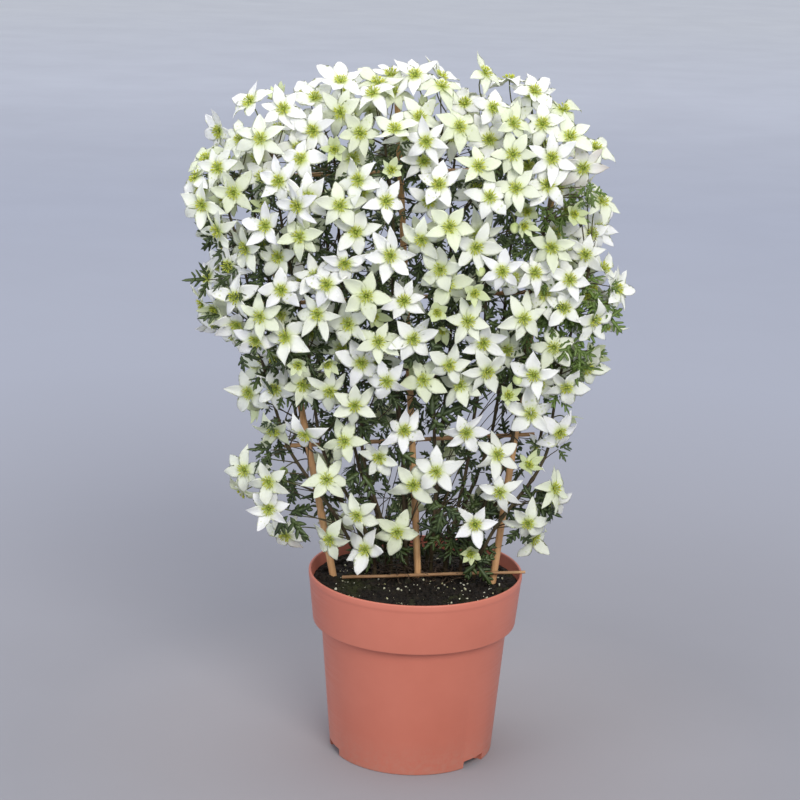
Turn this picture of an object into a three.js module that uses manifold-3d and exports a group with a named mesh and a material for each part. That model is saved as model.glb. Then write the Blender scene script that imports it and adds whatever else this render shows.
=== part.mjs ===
// Potted clematis cartmanii, trained on a fan of three bamboo canes.
// Millimetres, +Z up, with the origin at the middle of the pot's underside.
// The plant's flat side faces -Y.

import * as THREE from 'three';
import { mergeVertices } from 'three/addons/utils/BufferGeometryUtils.js';
import Module from 'manifold-3d';

const wasm = await Module();
wasm.setup();

// Gaps and seed
const CLEARANCE = 0.3;
const SHORTEST_EDGE = 0.1;
const SEED = 7061;

// Pot: a moulded plastic pot, 19 cm across the rim
const POT_SIDES = 26;
const POT_HEIGHT = 166;
const RIM_RADIUS = 95;
const BAND_RADIUS = 90.4;
const BAND_HEIGHT = 45;
const BODY_TOP_RADIUS = 83;
const FOOT_RADIUS = 73.2;
const POT_WALL = 2.2;
const FLOOR_DISC_RADIUS = 54;
const CHANNEL_INNER_RADIUS = 56.5;
const CHANNEL_OUTER_RADIUS = 66.5;
const FOOT_RING_RADIUS = 68.5;
const CHANNEL_HEIGHT = 6.5;
const FLOOR_THICKNESS = 2.5;
const NOTCH_COUNT = 3;
const NOTCH_WIDTH = 26;
const NOTCH_HEIGHT = 7;
const NOTCH_FIRST_ANGLE = THREE.MathUtils.degToRad(-40);
const DRAIN_COUNT = 6;
const DRAIN_RADIUS = 4.5;

// Soil
const SOIL_HEIGHT = 155;
const SOIL_MOUND = 1.6;
const SOIL_LEVEL_RADIUS = 80;
const SOIL_EDGE_SHARE = 0.4;
const HOLE_FLOOR = 128;

// Canes: foot point on the soil plane, lean in x per mm of height, length above that plane
const CANE_FOOT_HEIGHT = 60;
const CANE_SIDES = 7;
const CANE_TAPER = 0.8;
const CANES = [
  { name: 'cane_left', x: -53.6, lean: -0.2, length: 492, radius: 3.3, firstNode: 158, nodeStep: 128 },
  { name: 'cane_centre', x: 9.4, lean: -0.07, length: 520, radius: 3.2, firstNode: 159, nodeStep: 116 },
  { name: 'cane_right', x: 58.9, lean: 0.107, length: 480, radius: 3.3, firstNode: 176, nodeStep: 116 },
];

// Crossbars: ends in x and z, and the place of their axis in y
const BAR_RADIUS = 1.9;
const SOIL_BAR_RADIUS = 1.5;
const BARS = [
  { name: 'crossbar_lower', from: [-118, 275], to: [101, 292], radius: BAR_RADIUS },
  { name: 'crossbar_middle', from: [-138, 402], to: [116, 421], radius: BAR_RADIUS },
  { name: 'crossbar_upper', from: [-154, 512], to: [118, 528], radius: BAR_RADIUS },
];
const SOIL_BAR = {
  name: 'crossbar_soil',
  from: [-65, 158.4],
  to: [97.5, 168.2],
  y: -6.5,
  radius: SOIL_BAR_RADIUS,
};

// Wire ties at the crossings of canes and bars
const TIE_RADIUS = 0.5;
const TIE_SIDES = 3;
const TIE_STEPS = 8;
const TIE_SLACK = 0.6;
const TIE_HALF_WIDTH = 8.8;

// Vine stems: each is a lane of a fan whose rays meet below the pot. It swings from its foot over
// to its ray, waves a little, and goes in steps to the depth of its row.
const FAN_X = 20;
const FAN_Z = -300;
const SWING_START = 158;
const SWING_LENGTH = 130;
const WAVE_REACH = 2.2;
const WAVE_LENGTH = 31;
const WAVE_SHIFT = 1.7;
const FRONT_DEPTH = {
  foot: 10,
  steps: [{ start: 163, length: 32, by: -22 }, { start: 300, length: 110, by: -20 }],
};
const BACK_DEPTH = {
  foot: 24,
  steps: [{ start: 163, length: 60, by: -6 }, { start: 310, length: 110, by: 14 }],
};
const STEM_RADIUS = 1.5;
const STEM_FOOT_SWELL = 1.15;
const STEM_TIP_TAPER = 0.7;
const STEM_SIDES = 3;
const STEM_STEPS = 8;
const STEM_FOOT = HOLE_FLOOR + 6;
const SOIL_EXIT = 163;
const CLIMB_START = 197;
const TIP_TO_CROWN = 42;
const TIP_TO_EDGE = 10;
const HIGHEST_TIP = 560;
const LOWEST_STALK = 182;
const STALK_TO_TIP = 3;
const FRONT_FEET = [-50, -36, -22, -9, 14, 26, 40, 53];
const FRONT_SLOPES = [-0.235, -0.178, -0.12, -0.064, -0.01, 0.045, 0.1, 0.155];
const BACK_FEET = [-44, -26, -8, 10, 28, 46];
const BACK_SLOPES = [-0.215, -0.14, -0.065, 0.005, 0.075, 0.145];

// The plant's outer shape, on which the flowers' eyes lie: height, left, right, half depth
const SHAPE = [
  [188, -92, 84, 34],
  [200, -124, 112, 38],
  [215, -142, 118, 42],
  [240, -158, 126, 48],
  [262, -154, 122, 50],
  [280, -120, 110, 50],
  [300, -118, 118, 53],
  [322, -152, 134, 58],
  [345, -143, 142, 62],
  [366, -148, 146, 67],
  [390, -186, 142, 74],
  [412, -192, 168, 79],
  [435, -174, 168, 81],
  [455, -174, 154, 83],
  [485, -194, 148, 86],
  [510, -198, 144, 84],
  [535, -182, 138, 77],
  [558, -166, 128, 66],
  [582, -134, 106, 48],
  [598, -66, 78, 26],
  [603, 2, 10, 4],
];
const SHAPE_POWER = 2.5;

// Blooms
const PETAL_VALLEY = 0.46;
const VALLEY_LIFT = 0.6;
const EYE_HEIGHT = 1.5;
const PEDICEL_RADIUS = 0.85;
const ROOT_RADIUS = 0.4;
const BLOOM_BACK = 1.4;
const BLOOM_DROP = 0.4;
const NECK = 13;
const STRAIGHT_STALK = THREE.MathUtils.degToRad(60);
const BLOOM_GAP = 0.5;
const BLOOM_PUSHES = [0, -6, 5, -12, 10, 15, -18, 20, 26];
const BLOOM_TURNS = [0, 0.35, 0.7];
const OUTER_DARTS = 9000;
const INNER_DARTS = 3500;
const OUTER_DEPTH = [-7, 9];
const INNER_DEPTH = [18, 32];
const FRONT_SPACING = 24.5;
const INNER_SPACING = 31;
const LOW_FRONT_SPACING = 32;
const BACK_SPACING = 54;
const LOW_HEIGHT = 335;
const FRONT_EDGE = 12;
const TOWARDS_TOP = 0.7;
const OPEN_RADIUS = [19, 22.5];
const OPEN_CUP = [-0.12, 0.34];
const CHOSEN_RADIUS = [19.5, 23];
const CHOSEN_CUP = [-0.1, 0.2];
const YOUNG_SHARE = 0.12;
const YOUNG_RADIUS = [13, 15.5];
const YOUNG_CUP = [0.6, 0.95];
const FIVE_PART_SHARE = 0.45;
const SEVEN_PART_SHARE = 0.06;
const INNER_FIVE_SHARE = 0.9;

// Where a bloom looks: mostly away from the plant's shell, leaned by its side and by chance
const OUTWARD_SHARE = 0.8;
const FRONT_LEAN = new THREE.Vector3(0, -0.66, 0.12);
const BACK_LEAN = new THREE.Vector3(0, 0.3, 0.16);
const LEAN_CHANCE = new THREE.Vector3(0.56, 0.25, 0.46);

// Blooms that stand out in the photograph: x and z of the eye
const FRONT_BLOOMS = [
  [-64, 296], [15, 272], [-52, 229], [50, 223], [-3, 258], [-129, 254], [-129, 228], [-56, 331],
  [-29, 354], [-148, 329], [93, 325], [66, 287], [110, 384], [-66, 457], [-157, 420], [-4, 479],
  [72, 520], [24, 567], [-120, 575], [-173, 526], [-121, 521], [-71, 504], [-28, 564], [93, 569],
  [128, 534], [54, 365], [36, 410], [82, 413], [-34, 509], [-103, 477], [118, 250], [96, 222],
];

// Buds and leaves
const BUD_COUNT = 12;
const BUD_DARTS = 400;
const BUD_HEIGHTS = [230, 560];
const BUD_INSET = 8;
const BUD_NOD = -0.6;
const BUD_RADIUS = 4;
const BUD_LENGTH = 6.5;
const BUD_HEEL = 0.7;
const BUD_DROP = -0.4;
const LEAF_COUNT = 29;
const LEAF_DARTS = 4000;
const LOW_LEAF_SHARE = 0.6;
const LOW_LEAF_HEIGHTS = [176, 350];
const LOW_LEAF_REACH = [0.5, 1];
const HIGH_LEAF_HEIGHTS = [350, 545];
const HIGH_LEAF_REACH = [0.62, 0.86];
const LEAF_SIZE = [22, 31];
const STEEPEST_TIP = 0.93;
const LEAF_DROP = 0.25;
const LEAF_DROOP = 0.35;
const LEAF_THICKNESS = 0.8;
const PETIOLE_RADIUS = 0.75;
const STALK_TURN_LIMIT = THREE.MathUtils.degToRad(58);

// Half of a three-part cut leaf, seen from above: angle from its middle line in degrees, reach
const LEAF_HALF = [
  [0, 1],
  [14, 0.42],
  [28, 0.66],
  [48, 0.2],
  [74, 0.8],
  [90, 0.36],
  [107, 0.52],
];
const LEAF_HEEL = [180, 0.1];

function seeded(seed) {
  let state = seed;
  return (low = 0, high = 1) => {
    state = (state * 16807) % 2147483647;
    return low + (high - low) * (state / 2147483647);
  };
}

const draw = seeded(SEED);

function smooth(value) {
  const t = THREE.MathUtils.clamp(value, 0, 1);
  return t * t * (3 - 2 * t);
}

function vec(x, y, z) {
  return new THREE.Vector3(x, y, z);
}

// Solids from vertices and faces, and back to a geometry

function solidOf(points, faces) {
  const vertProperties = new Float32Array(points.flatMap((p) => [p.x, p.y, p.z]));
  const triVerts = new Uint32Array(faces.flat());
  return new wasm.Manifold(new wasm.Mesh({ numProp: 3, vertProperties, triVerts }));
}

function solidOfGeometry(geometry) {
  const bare = geometry.clone();
  bare.deleteAttribute('normal');
  bare.deleteAttribute('uv');
  const merged = mergeVertices(bare, 1e-4);
  const index = Array.from(merged.index.array);
  const faces = [];
  for (let i = 0; i < index.length; i += 3) {
    const [a, b, c] = index.slice(i, i + 3);
    if (a !== b && b !== c && c !== a) {
      faces.push([a, b, c]);
    }
  }
  const place = merged.attributes.position;
  const points = [];
  for (let i = 0; i < place.count; i += 1) {
    points.push(new THREE.Vector3().fromBufferAttribute(place, i));
  }
  return solidOf(points, faces);
}

function geometryOf(solid) {
  const mesh = solid.getMesh();
  const geometry = new THREE.BufferGeometry();
  geometry.setAttribute('position', new THREE.BufferAttribute(new Float32Array(mesh.vertProperties), 3));
  geometry.setIndex(new THREE.BufferAttribute(new Uint32Array(mesh.triVerts), 1));
  geometry.computeVertexNormals();
  return geometry;
}

function placedSolid(mesh) {
  mesh.updateMatrixWorld(true);
  return solidOfGeometry(mesh.geometry.clone().applyMatrix4(mesh.matrixWorld));
}

function material(color, roughness) {
  return new THREE.MeshStandardMaterial({ color, roughness, metalness: 0 });
}

const PLASTIC = material(0xb86a58, 0.55);
const PEAT = material(0x2a221c, 0.95);
const BAMBOO = material(0xcf9a68, 0.6);
const SPLIT_CANE = material(0xa9714a, 0.65);
const WIRE = material(0x4a4a44, 0.5);
const VINE = material(0xdfe8cf, 0.6);

function named(name, geometry, finish) {
  const mesh = new THREE.Mesh(geometry, finish);
  mesh.name = name;
  return mesh;
}

function lathe(profile, sides) {
  const geometry = new THREE.LatheGeometry(profile.map(([r, z]) => new THREE.Vector2(r, z)), sides);
  return geometry.rotateX(Math.PI / 2);
}

// The pot: a rim band over a tapered body, a raised channel with drain holes round a flat
// middle disc, and notches that let water out under the foot ring.

function potProfile() {
  const bandFoot = POT_HEIGHT - BAND_HEIGHT;
  const floorTop = CHANNEL_HEIGHT + FLOOR_THICKNESS;
  return [
    [0, 0],
    [FLOOR_DISC_RADIUS, 0],
    [CHANNEL_INNER_RADIUS, CHANNEL_HEIGHT],
    [CHANNEL_OUTER_RADIUS, CHANNEL_HEIGHT],
    [FOOT_RING_RADIUS, 0],
    [FOOT_RADIUS, 0],
    [BODY_TOP_RADIUS, bandFoot - 2.5],
    [BAND_RADIUS, bandFoot - 1],
    [RIM_RADIUS, POT_HEIGHT - 1.5],
    [RIM_RADIUS - 0.8, POT_HEIGHT],
    [RIM_RADIUS - POT_WALL, POT_HEIGHT],
    [BAND_RADIUS - POT_WALL, bandFoot + 1.5],
    [BODY_TOP_RADIUS - POT_WALL, bandFoot - 4.5],
    [FOOT_RADIUS - POT_WALL - 0.4, floorTop + 2],
    [FOOT_RING_RADIUS + 0.3, floorTop],
    [CHANNEL_INNER_RADIUS + 0.5, floorTop],
    [FLOOR_DISC_RADIUS + 0.5, FLOOR_THICKNESS],
    [0, FLOOR_THICKNESS],
  ];
}

function makePot() {
  let pot = solidOfGeometry(lathe(potProfile(), POT_SIDES));
  for (let i = 0; i < NOTCH_COUNT; i += 1) {
    const angle = NOTCH_FIRST_ANGLE + (i * 2 * Math.PI) / NOTCH_COUNT;
    const notch = new THREE.BoxGeometry(14, NOTCH_WIDTH, 2 * NOTCH_HEIGHT);
    notch.translate(FOOT_RING_RADIUS + 6, 0, 0).rotateZ(angle);
    pot = pot.subtract(solidOfGeometry(notch));
  }
  const channelMiddle = (CHANNEL_INNER_RADIUS + CHANNEL_OUTER_RADIUS) / 2 + 0.5;
  for (let i = 0; i < DRAIN_COUNT; i += 1) {
    const angle = NOTCH_FIRST_ANGLE + ((i + 0.5) * 2 * Math.PI) / DRAIN_COUNT;
    const drain = new THREE.CylinderGeometry(DRAIN_RADIUS, DRAIN_RADIUS, 20, 6).rotateX(Math.PI / 2);
    drain.translate(channelMiddle, 0, CHANNEL_HEIGHT).rotateZ(angle);
    pot = pot.subtract(solidOfGeometry(drain));
  }
  return named('pot', geometryOf(pot), PLASTIC);
}

// Canes and bars

function caneGeometry(cane, grow = 0, depth = 0) {
  const profile = [[0, -depth], [cane.radius + grow, -depth]];
  const radiusAt = (z) => grow + cane.radius * THREE.MathUtils.lerp(1, CANE_TAPER, z / cane.length);
  if (grow === 0) {
    for (let z = cane.firstNode; z < cane.length - 20; z += cane.nodeStep) {
      profile.push([radiusAt(z - 3), z - 3], [radiusAt(z) + 0.6, z], [radiusAt(z + 3), z + 3]);
    }
  }
  profile.push([radiusAt(cane.length), cane.length], [0, cane.length]);
  return lathe(profile, CANE_SIDES);
}

function place(mesh, x, y, z, lean) {
  mesh.position.set(x, y, z);
  mesh.rotation.y = lean;
  return mesh;
}

function makeCane(cane) {
  const mesh = named(cane.name, caneGeometry(cane), BAMBOO);
  return place(mesh, cane.x, 0, CANE_FOOT_HEIGHT, Math.atan(cane.lean));
}

function caneRadius(cane, z) {
  return cane.radius * THREE.MathUtils.lerp(1, CANE_TAPER, (z - CANE_FOOT_HEIGHT) / cane.length);
}

function caneX(cane, z) {
  return cane.x + cane.lean * (z - CANE_FOOT_HEIGHT);
}

function barHeight(bar, x) {
  return THREE.MathUtils.mapLinear(x, bar.from[0], bar.to[0], bar.from[1], bar.to[1]);
}

// The bars above the soil lie against the back of the canes.

for (const bar of BARS) {
  bar.y = Math.max(...CANES.map((cane) => caneRadius(cane, bar.from[1]))) + CLEARANCE + bar.radius;
}

function makeBar(bar, finish) {
  const dx = bar.to[0] - bar.from[0];
  const dz = bar.to[1] - bar.from[1];
  const geometry = new THREE.CylinderGeometry(bar.radius * 0.92, bar.radius, Math.hypot(dx, dz), 6);
  geometry.rotateX(Math.PI / 2);
  const middle = [(bar.from[0] + bar.to[0]) / 2, bar.y, (bar.from[1] + bar.to[1]) / 2];
  return place(named(bar.name, geometry, finish), ...middle, Math.atan2(dx, dz));
}

// A wire tie is an egg-shaped loop round a cane and the bar behind it, set across the corner
// between them.

function makeTie(cane, bar, side) {
  const height = barHeight(bar, caneX(cane, (bar.from[1] + bar.to[1]) / 2));
  const centre = vec(caneX(cane, height), 0, height);
  const front = -(caneRadius(cane, height) + TIE_RADIUS / 2 + TIE_SLACK);
  const back = bar.y + bar.radius + TIE_RADIUS / 2 + TIE_SLACK;
  const halfDepth = (back - front) / 2;
  const across = vec(Math.SQRT1_2, 0, side * Math.SQRT1_2);
  const loop = [];
  for (let i = 0; i < TIE_STEPS; i += 1) {
    const angle = (i * 2 * Math.PI) / TIE_STEPS;
    const point = centre.clone().addScaledVector(across, TIE_HALF_WIDTH * Math.cos(angle));
    point.y += (front + back) / 2 + halfDepth * Math.sin(angle);
    loop.push(point);
  }
  const middle = centre.clone().setY((front + back) / 2);
  const normal = across.clone().cross(vec(0, 1, 0)).normalize();
  const points = [];
  const faces = [];
  loop.forEach((point, i) => {
    const outward = point.clone().sub(middle).normalize();
    for (let j = 0; j < TIE_SIDES; j += 1) {
      const turn = (j * 2 * Math.PI) / TIE_SIDES;
      const offset = outward.clone().multiplyScalar(Math.cos(turn)).addScaledVector(normal, Math.sin(turn));
      points.push(point.clone().addScaledVector(offset, TIE_RADIUS));
      const next = (i + 1) % TIE_STEPS;
      const a = i * TIE_SIDES + j;
      const b = i * TIE_SIDES + ((j + 1) % TIE_SIDES);
      const c = next * TIE_SIDES + j;
      const d = next * TIE_SIDES + ((j + 1) % TIE_SIDES);
      faces.push([a, b, d], [a, d, c]);
    }
  });
  let tie = solidOf(points, faces);
  if (tie.volume() < 0) {
    tie = solidOf(points, faces.map(([a, b, c]) => [a, c, b]));
  }
  return named(`tie_${cane.name.slice(5)}_${bar.name.slice(9)}`, geometryOf(tie), WIRE);
}

// The plant's shape

function shapeAt(height) {
  const z = THREE.MathUtils.clamp(height, SHAPE[0][0], SHAPE[SHAPE.length - 1][0]);
  let row = 0;
  while (row < SHAPE.length - 2 && SHAPE[row + 1][0] < z) {
    row += 1;
  }
  const t = (z - SHAPE[row][0]) / (SHAPE[row + 1][0] - SHAPE[row][0]);
  const [left, right, depth] = [1, 2, 3].map((k) => {
    return THREE.MathUtils.lerp(SHAPE[row][k], SHAPE[row + 1][k], t);
  });
  return { middle: (left + right) / 2, half: (right - left) / 2, depth };
}

function shapePoint(angle, height) {
  const { middle, half, depth } = shapeAt(height);
  const round = (value) => Math.sign(value) * Math.abs(value) ** (2 / SHAPE_POWER);
  return vec(middle + half * round(Math.cos(angle)), depth * round(Math.sin(angle)), height);
}

function frontPoint(x, height) {
  const { middle, half, depth } = shapeAt(height);
  const reach = Math.min(0.98, Math.abs(x - middle) / half);
  return vec(x, -depth * (1 - reach ** SHAPE_POWER) ** (1 / SHAPE_POWER), height);
}

function shapeNormal(point) {
  const level = (p) => {
    const { middle, half, depth } = shapeAt(p.z);
    const sum = Math.abs((p.x - middle) / half) ** SHAPE_POWER + Math.abs(p.y / depth) ** SHAPE_POWER;
    return sum ** (1 / SHAPE_POWER);
  };
  const step = 6;
  const slope = (x, y, z) => {
    const offset = vec(x, y, z).multiplyScalar(step);
    return level(point.clone().add(offset)) - level(point.clone().sub(offset));
  };
  return vec(slope(1, 0, 0), slope(0, 1, 0), slope(0, 0, 1)).normalize();
}

// Vine stems

function rayX(slope, height) {
  return FAN_X + slope * (height - FAN_Z);
}

// A stem ends a set way below the plant's outline, and inside its left and right edges.

function stemTop(slope) {
  let top = HIGHEST_TIP;
  while (top > SOIL_EXIT) {
    const { middle, half } = shapeAt(top + TIP_TO_CROWN);
    if (Math.abs(rayX(slope, top) - middle) < half - TIP_TO_EDGE) {
      return top;
    }
    top -= 4;
  }
  return top;
}

function stepped(depth, height) {
  const moved = depth.steps.map(({ start, length, by }) => by * smooth((height - start) / length));
  return depth.foot + moved.reduce((sum, by) => sum + by, 0);
}

function makeLane(name, foot, slope, isFront, order) {
  const lane = { name, slope, isFront, top: stemTop(slope), solids: [] };
  const phase = order * WAVE_SHIFT;
  lane.at = (height) => {
    const spread = smooth((height - SWING_START) / SWING_LENGTH);
    const wave = WAVE_REACH * spread * Math.sin(height / WAVE_LENGTH + phase);
    const x = THREE.MathUtils.lerp(foot, rayX(slope, height), spread) + wave;
    return vec(x, stepped(isFront ? FRONT_DEPTH : BACK_DEPTH, height), height);
  };
  return lane;
}

function ringPoints(centre, u, v, radius, sides) {
  const points = [];
  for (let j = 0; j < sides; j += 1) {
    const turn = (j * 2 * Math.PI) / sides;
    const point = centre.clone().addScaledVector(u, radius * Math.cos(turn));
    points.push(point.addScaledVector(v, radius * Math.sin(turn)));
  }
  return points;
}

// The straight runs of a stem join points on its lane, from the foot in the soil to the tip.

function stemHeights(lane) {
  const heights = [STEM_FOOT, SOIL_EXIT];
  for (let i = 0; i <= STEM_STEPS; i += 1) {
    heights.push(THREE.MathUtils.lerp(CLIMB_START, lane.top, i / STEM_STEPS));
  }
  return heights;
}

function onStem(lane, height) {
  const heights = stemHeights(lane);
  const next = Math.max(1, heights.findIndex((z) => z >= height));
  const [low, high] = [heights[next - 1], heights[next]];
  return lane.at(low).lerp(lane.at(high), (height - low) / (high - low));
}

// A stem's solid runs downwards from its tip, as a stalk's does from its bloom.

function stemSolid(lane, grow = 0, heights = stemHeights(lane)) {
  const points = [];
  const faces = [];
  const steps = heights.length - 1;
  for (const height of heights.toReversed()) {
    const share = (height - STEM_FOOT) / (lane.top - STEM_FOOT);
    const radius = STEM_RADIUS * THREE.MathUtils.lerp(STEM_FOOT_SWELL, STEM_TIP_TAPER, share) + grow;
    points.push(...ringPoints(lane.at(height), vec(1, 0, 0), vec(0, 1, 0), radius, STEM_SIDES));
  }
  const last = steps * STEM_SIDES;
  for (let i = 0; i < steps; i += 1) {
    for (let j = 0; j < STEM_SIDES; j += 1) {
      const a = i * STEM_SIDES + j;
      const b = i * STEM_SIDES + ((j + 1) % STEM_SIDES);
      faces.push([b, a, a + STEM_SIDES], [b, a + STEM_SIDES, b + STEM_SIDES]);
    }
  }
  faces.push([0, 1, 2], [last + 2, last + 1, last]);
  return solidOf(points, faces);
}

// A bloom, a bud and a leaf are all a fan of triangles round a raised middle, closed behind
// by a fan that narrows to a three-sided stalk.

function fanSolid(apex, outline, normal, u, path, radii) {
  const points = [apex, ...outline];
  const faces = [];
  const count = outline.length;
  const first = 1 + count;
  const group = (k) => Math.floor((3 * k) / count);
  let side = u.clone().applyAxisAngle(normal, Math.PI / 3);
  let before = normal.clone().negate();
  path.forEach((centre, i) => {
    const after = i + 1 < path.length ? path[i + 1].clone().sub(centre).normalize() : before;
    const along = i === 0 ? before.clone() : before.clone().add(after).normalize();
    side = side.clone().sub(along.clone().multiplyScalar(side.dot(along))).normalize();
    const other = side.clone().cross(along).normalize();
    const turned = ringPoints(centre, side, other, radii[i], 3);
    points.push(...turned);
    before = after;
  });
  for (let k = 0; k < count; k += 1) {
    const next = (k + 1) % count;
    const back = first + group(k);
    faces.push([0, 1 + k, 1 + next], [1 + next, 1 + k, back]);
    const previous = first + group((k - 1 + count) % count);
    if (previous !== back) {
      faces.push([1 + k, previous, back]);
    }
  }
  for (let i = 0; i + 1 < path.length; i += 1) {
    for (let j = 0; j < 3; j += 1) {
      const a = first + 3 * i + j;
      const b = first + 3 * i + ((j + 1) % 3);
      faces.push([b, a, a + 3], [b, a + 3, b + 3]);
    }
  }
  const last = first + 3 * (path.length - 1);
  faces.push([last + 2, last + 1, last]);
  return solidOf(points, faces);
}

function planeAxes(normal, spin) {
  const reference = Math.abs(normal.z) > 0.9 ? vec(0, 1, 0) : vec(0, 0, 1);
  const u = reference.clone().cross(normal).normalize();
  const v = normal.clone().cross(u);
  const turnedU = u.clone().multiplyScalar(Math.cos(spin)).addScaledVector(v, Math.sin(spin));
  return { u: turnedU, v: normal.clone().cross(turnedU) };
}

function starOutline(centre, normal, u, v, { radius, petals, cup }) {
  const outline = [];
  for (let k = 0; k < 2 * petals; k += 1) {
    const turn = (k * Math.PI) / petals;
    const isTip = k % 2 === 0;
    const reach = radius * (isTip ? Math.cos(cup) : PETAL_VALLEY);
    const lift = radius * Math.sin(cup) * (isTip ? 1 : PETAL_VALLEY * VALLEY_LIFT);
    const point = centre.clone().addScaledVector(u, reach * Math.cos(turn));
    outline.push(point.addScaledVector(v, reach * Math.sin(turn)).addScaledVector(normal, lift));
  }
  return outline;
}

// A stalk leaves its stem lower than its bloom by a share, `drop`, of the way out to it.

function stalkRoot(lane, centre, drop) {
  const beside = lane.at(Math.min(centre.z, lane.top));
  const away = Math.hypot(centre.x - beside.x, centre.y - beside.y);
  const height = THREE.MathUtils.clamp(centre.z - drop * away, LOWEST_STALK, lane.top - STALK_TO_TIP);
  return onStem(lane, height);
}

// The turn between the line straight behind a blade and the way its stalk leaves

function stalkTurn(normal, path) {
  return path[1].clone().sub(path[0]).negate().angleTo(normal);
}

function bloomSolids(lane, bloom) {
  const { centre, normal } = bloom;
  const { u, v } = planeAxes(normal, bloom.spin);
  const outline = starOutline(centre, normal, u, v, bloom);
  const apex = centre.clone().addScaledVector(normal, EYE_HEIGHT);
  const back = centre.clone().addScaledVector(normal, -BLOOM_BACK);
  const path = [back, stalkRoot(lane, centre, BLOOM_DROP)];
  const radii = [PEDICEL_RADIUS, ROOT_RADIUS];
  if (stalkTurn(normal, path) > STRAIGHT_STALK) {
    path.splice(1, 0, centre.clone().addScaledVector(normal, -NECK));
    radii.splice(1, 0, PEDICEL_RADIUS * 0.8);
  }
  const whole = fanSolid(apex, outline, normal, u, path, radii);
  const blade = fanSolid(apex, outline, normal, u, path.slice(0, 1), radii);
  return { whole, blade };
}

function budSolids(lane, bud) {
  const { centre, normal } = bud;
  const { u, v } = planeAxes(normal, bud.spin);
  const outline = ringPoints(centre, u, v, BUD_RADIUS, 5);
  const apex = centre.clone().addScaledVector(normal, BUD_LENGTH);
  const back = centre.clone().addScaledVector(normal, -BUD_HEEL * BUD_LENGTH);
  const path = [back, stalkRoot(lane, centre, BUD_DROP)];
  const radii = [PEDICEL_RADIUS, ROOT_RADIUS];
  if (stalkTurn(normal, path) > STALK_TURN_LIMIT) {
    return null;
  }
  const whole = fanSolid(apex, outline, normal, u, path, radii);
  const blade = fanSolid(apex, outline, normal, u, path.slice(0, 1), radii);
  return { whole, blade };
}

function leafOutline(centre, normal, u, v, size) {
  const right = LEAF_HALF.map(([degrees, reach]) => [THREE.MathUtils.degToRad(degrees), reach]);
  const left = right.slice(1).reverse().map(([angle, reach]) => [-angle, reach]);
  const heel = [THREE.MathUtils.degToRad(LEAF_HEEL[0]), LEAF_HEEL[1]];
  return [...right, heel, ...left].map(([angle, reach]) => {
    const far = reach * size;
    const droop = -LEAF_DROOP * size * reach * reach;
    const point = centre.clone().addScaledVector(u, far * Math.cos(angle));
    return point.addScaledVector(v, far * Math.sin(angle)).addScaledVector(normal, droop);
  });
}

function leafSolids(lane, leaf) {
  const { centre, normal, tip, size } = leaf;
  const u = tip.clone().sub(normal.clone().multiplyScalar(tip.dot(normal))).normalize();
  const v = normal.clone().cross(u);
  const outline = leafOutline(centre, normal, u, v, size);
  const apex = centre.clone().addScaledVector(normal, LEAF_THICKNESS);
  const back = centre.clone().addScaledVector(normal, -LEAF_THICKNESS);
  const path = [back, stalkRoot(lane, centre, LEAF_DROP)];
  const radii = [PETIOLE_RADIUS, ROOT_RADIUS];
  if (stalkTurn(normal, path) > STALK_TURN_LIMIT) {
    return null;
  }
  const whole = fanSolid(apex, outline, normal, u, path, radii);
  const blade = fanSolid(apex, outline, normal, u, path.slice(0, 1), radii);
  return { whole, blade };
}

// Placing: a new bloom, bud or leaf is kept when it stays clear of all that stands already.

const placed = [];

function boxesMeet(a, b, margin) {
  return [0, 1, 2].every((k) => a.min[k] < b.max[k] + margin && b.min[k] < a.max[k] + margin);
}

function isClear(whole, blade, lane) {
  const wholeBox = whole.boundingBox();
  for (const other of placed) {
    if (!boxesMeet(wholeBox, other.box, CLEARANCE)) {
      continue;
    }
    if (other.lane !== lane) {
      if (whole.minGap(other.whole, 2) < CLEARANCE) {
        return false;
      }
    } else {
      if (blade.minGap(other.whole, 2) < BLOOM_GAP) {
        return false;
      }
      if (other.blade && whole.minGap(other.blade, 2) < BLOOM_GAP) {
        return false;
      }
    }
  }
  return true;
}

function keep(lane, whole, blade) {
  placed.push({ lane, whole, blade, box: whole.boundingBox() });
  if (lane) {
    lane.solids.push(whole);
  }
}

// The lane whose ray passes closest to the point, in the row on the point's side

function nearestLane(lanes, point) {
  const isFront = point.y < 0;
  const slope = (point.x - FAN_X) / (point.z - FAN_Z);
  const row = lanes.filter((lane) => lane.isFront === isFront);
  const off = row.map((lane) => Math.abs(lane.slope - slope));
  return row[off.indexOf(Math.min(...off))];
}

// Tries a bloom at its place, pushed in and out, and at a few turns, and keeps the first fit.

function tryBloom(lanes, point, normal, style) {
  for (const push of BLOOM_PUSHES) {
    const centre = point.clone().addScaledVector(normal, push);
    const lane = nearestLane(lanes, centre);
    for (const turn of BLOOM_TURNS) {
      const { whole, blade } = bloomSolids(lane, { ...style, centre, normal, spin: style.spin + turn });
      if (isClear(whole, blade, lane)) {
        keep(lane, whole, blade);
        return true;
      }
      whole.delete();
      blade.delete();
    }
  }
  return false;
}

// Most blooms are open, flat or a little cupped. Young ones are small and half closed.

function bloomStyle(fiveShare = FIVE_PART_SHARE) {
  const style = { spin: draw(0, Math.PI), petals: 6, cup: draw(...OPEN_CUP), radius: draw(...OPEN_RADIUS) };
  const kind = draw();
  if (kind < fiveShare) {
    style.petals = 5;
  } else if (kind > 1 - SEVEN_PART_SHARE) {
    style.petals = 7;
  }
  if (draw() < YOUNG_SHARE) {
    style.radius = draw(...YOUNG_RADIUS);
    style.cup = draw(...YOUNG_CUP);
  }
  return style;
}

// A bloom faces outwards and a little upwards, the front ones more towards the front, each with
// a turn of its own.

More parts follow.
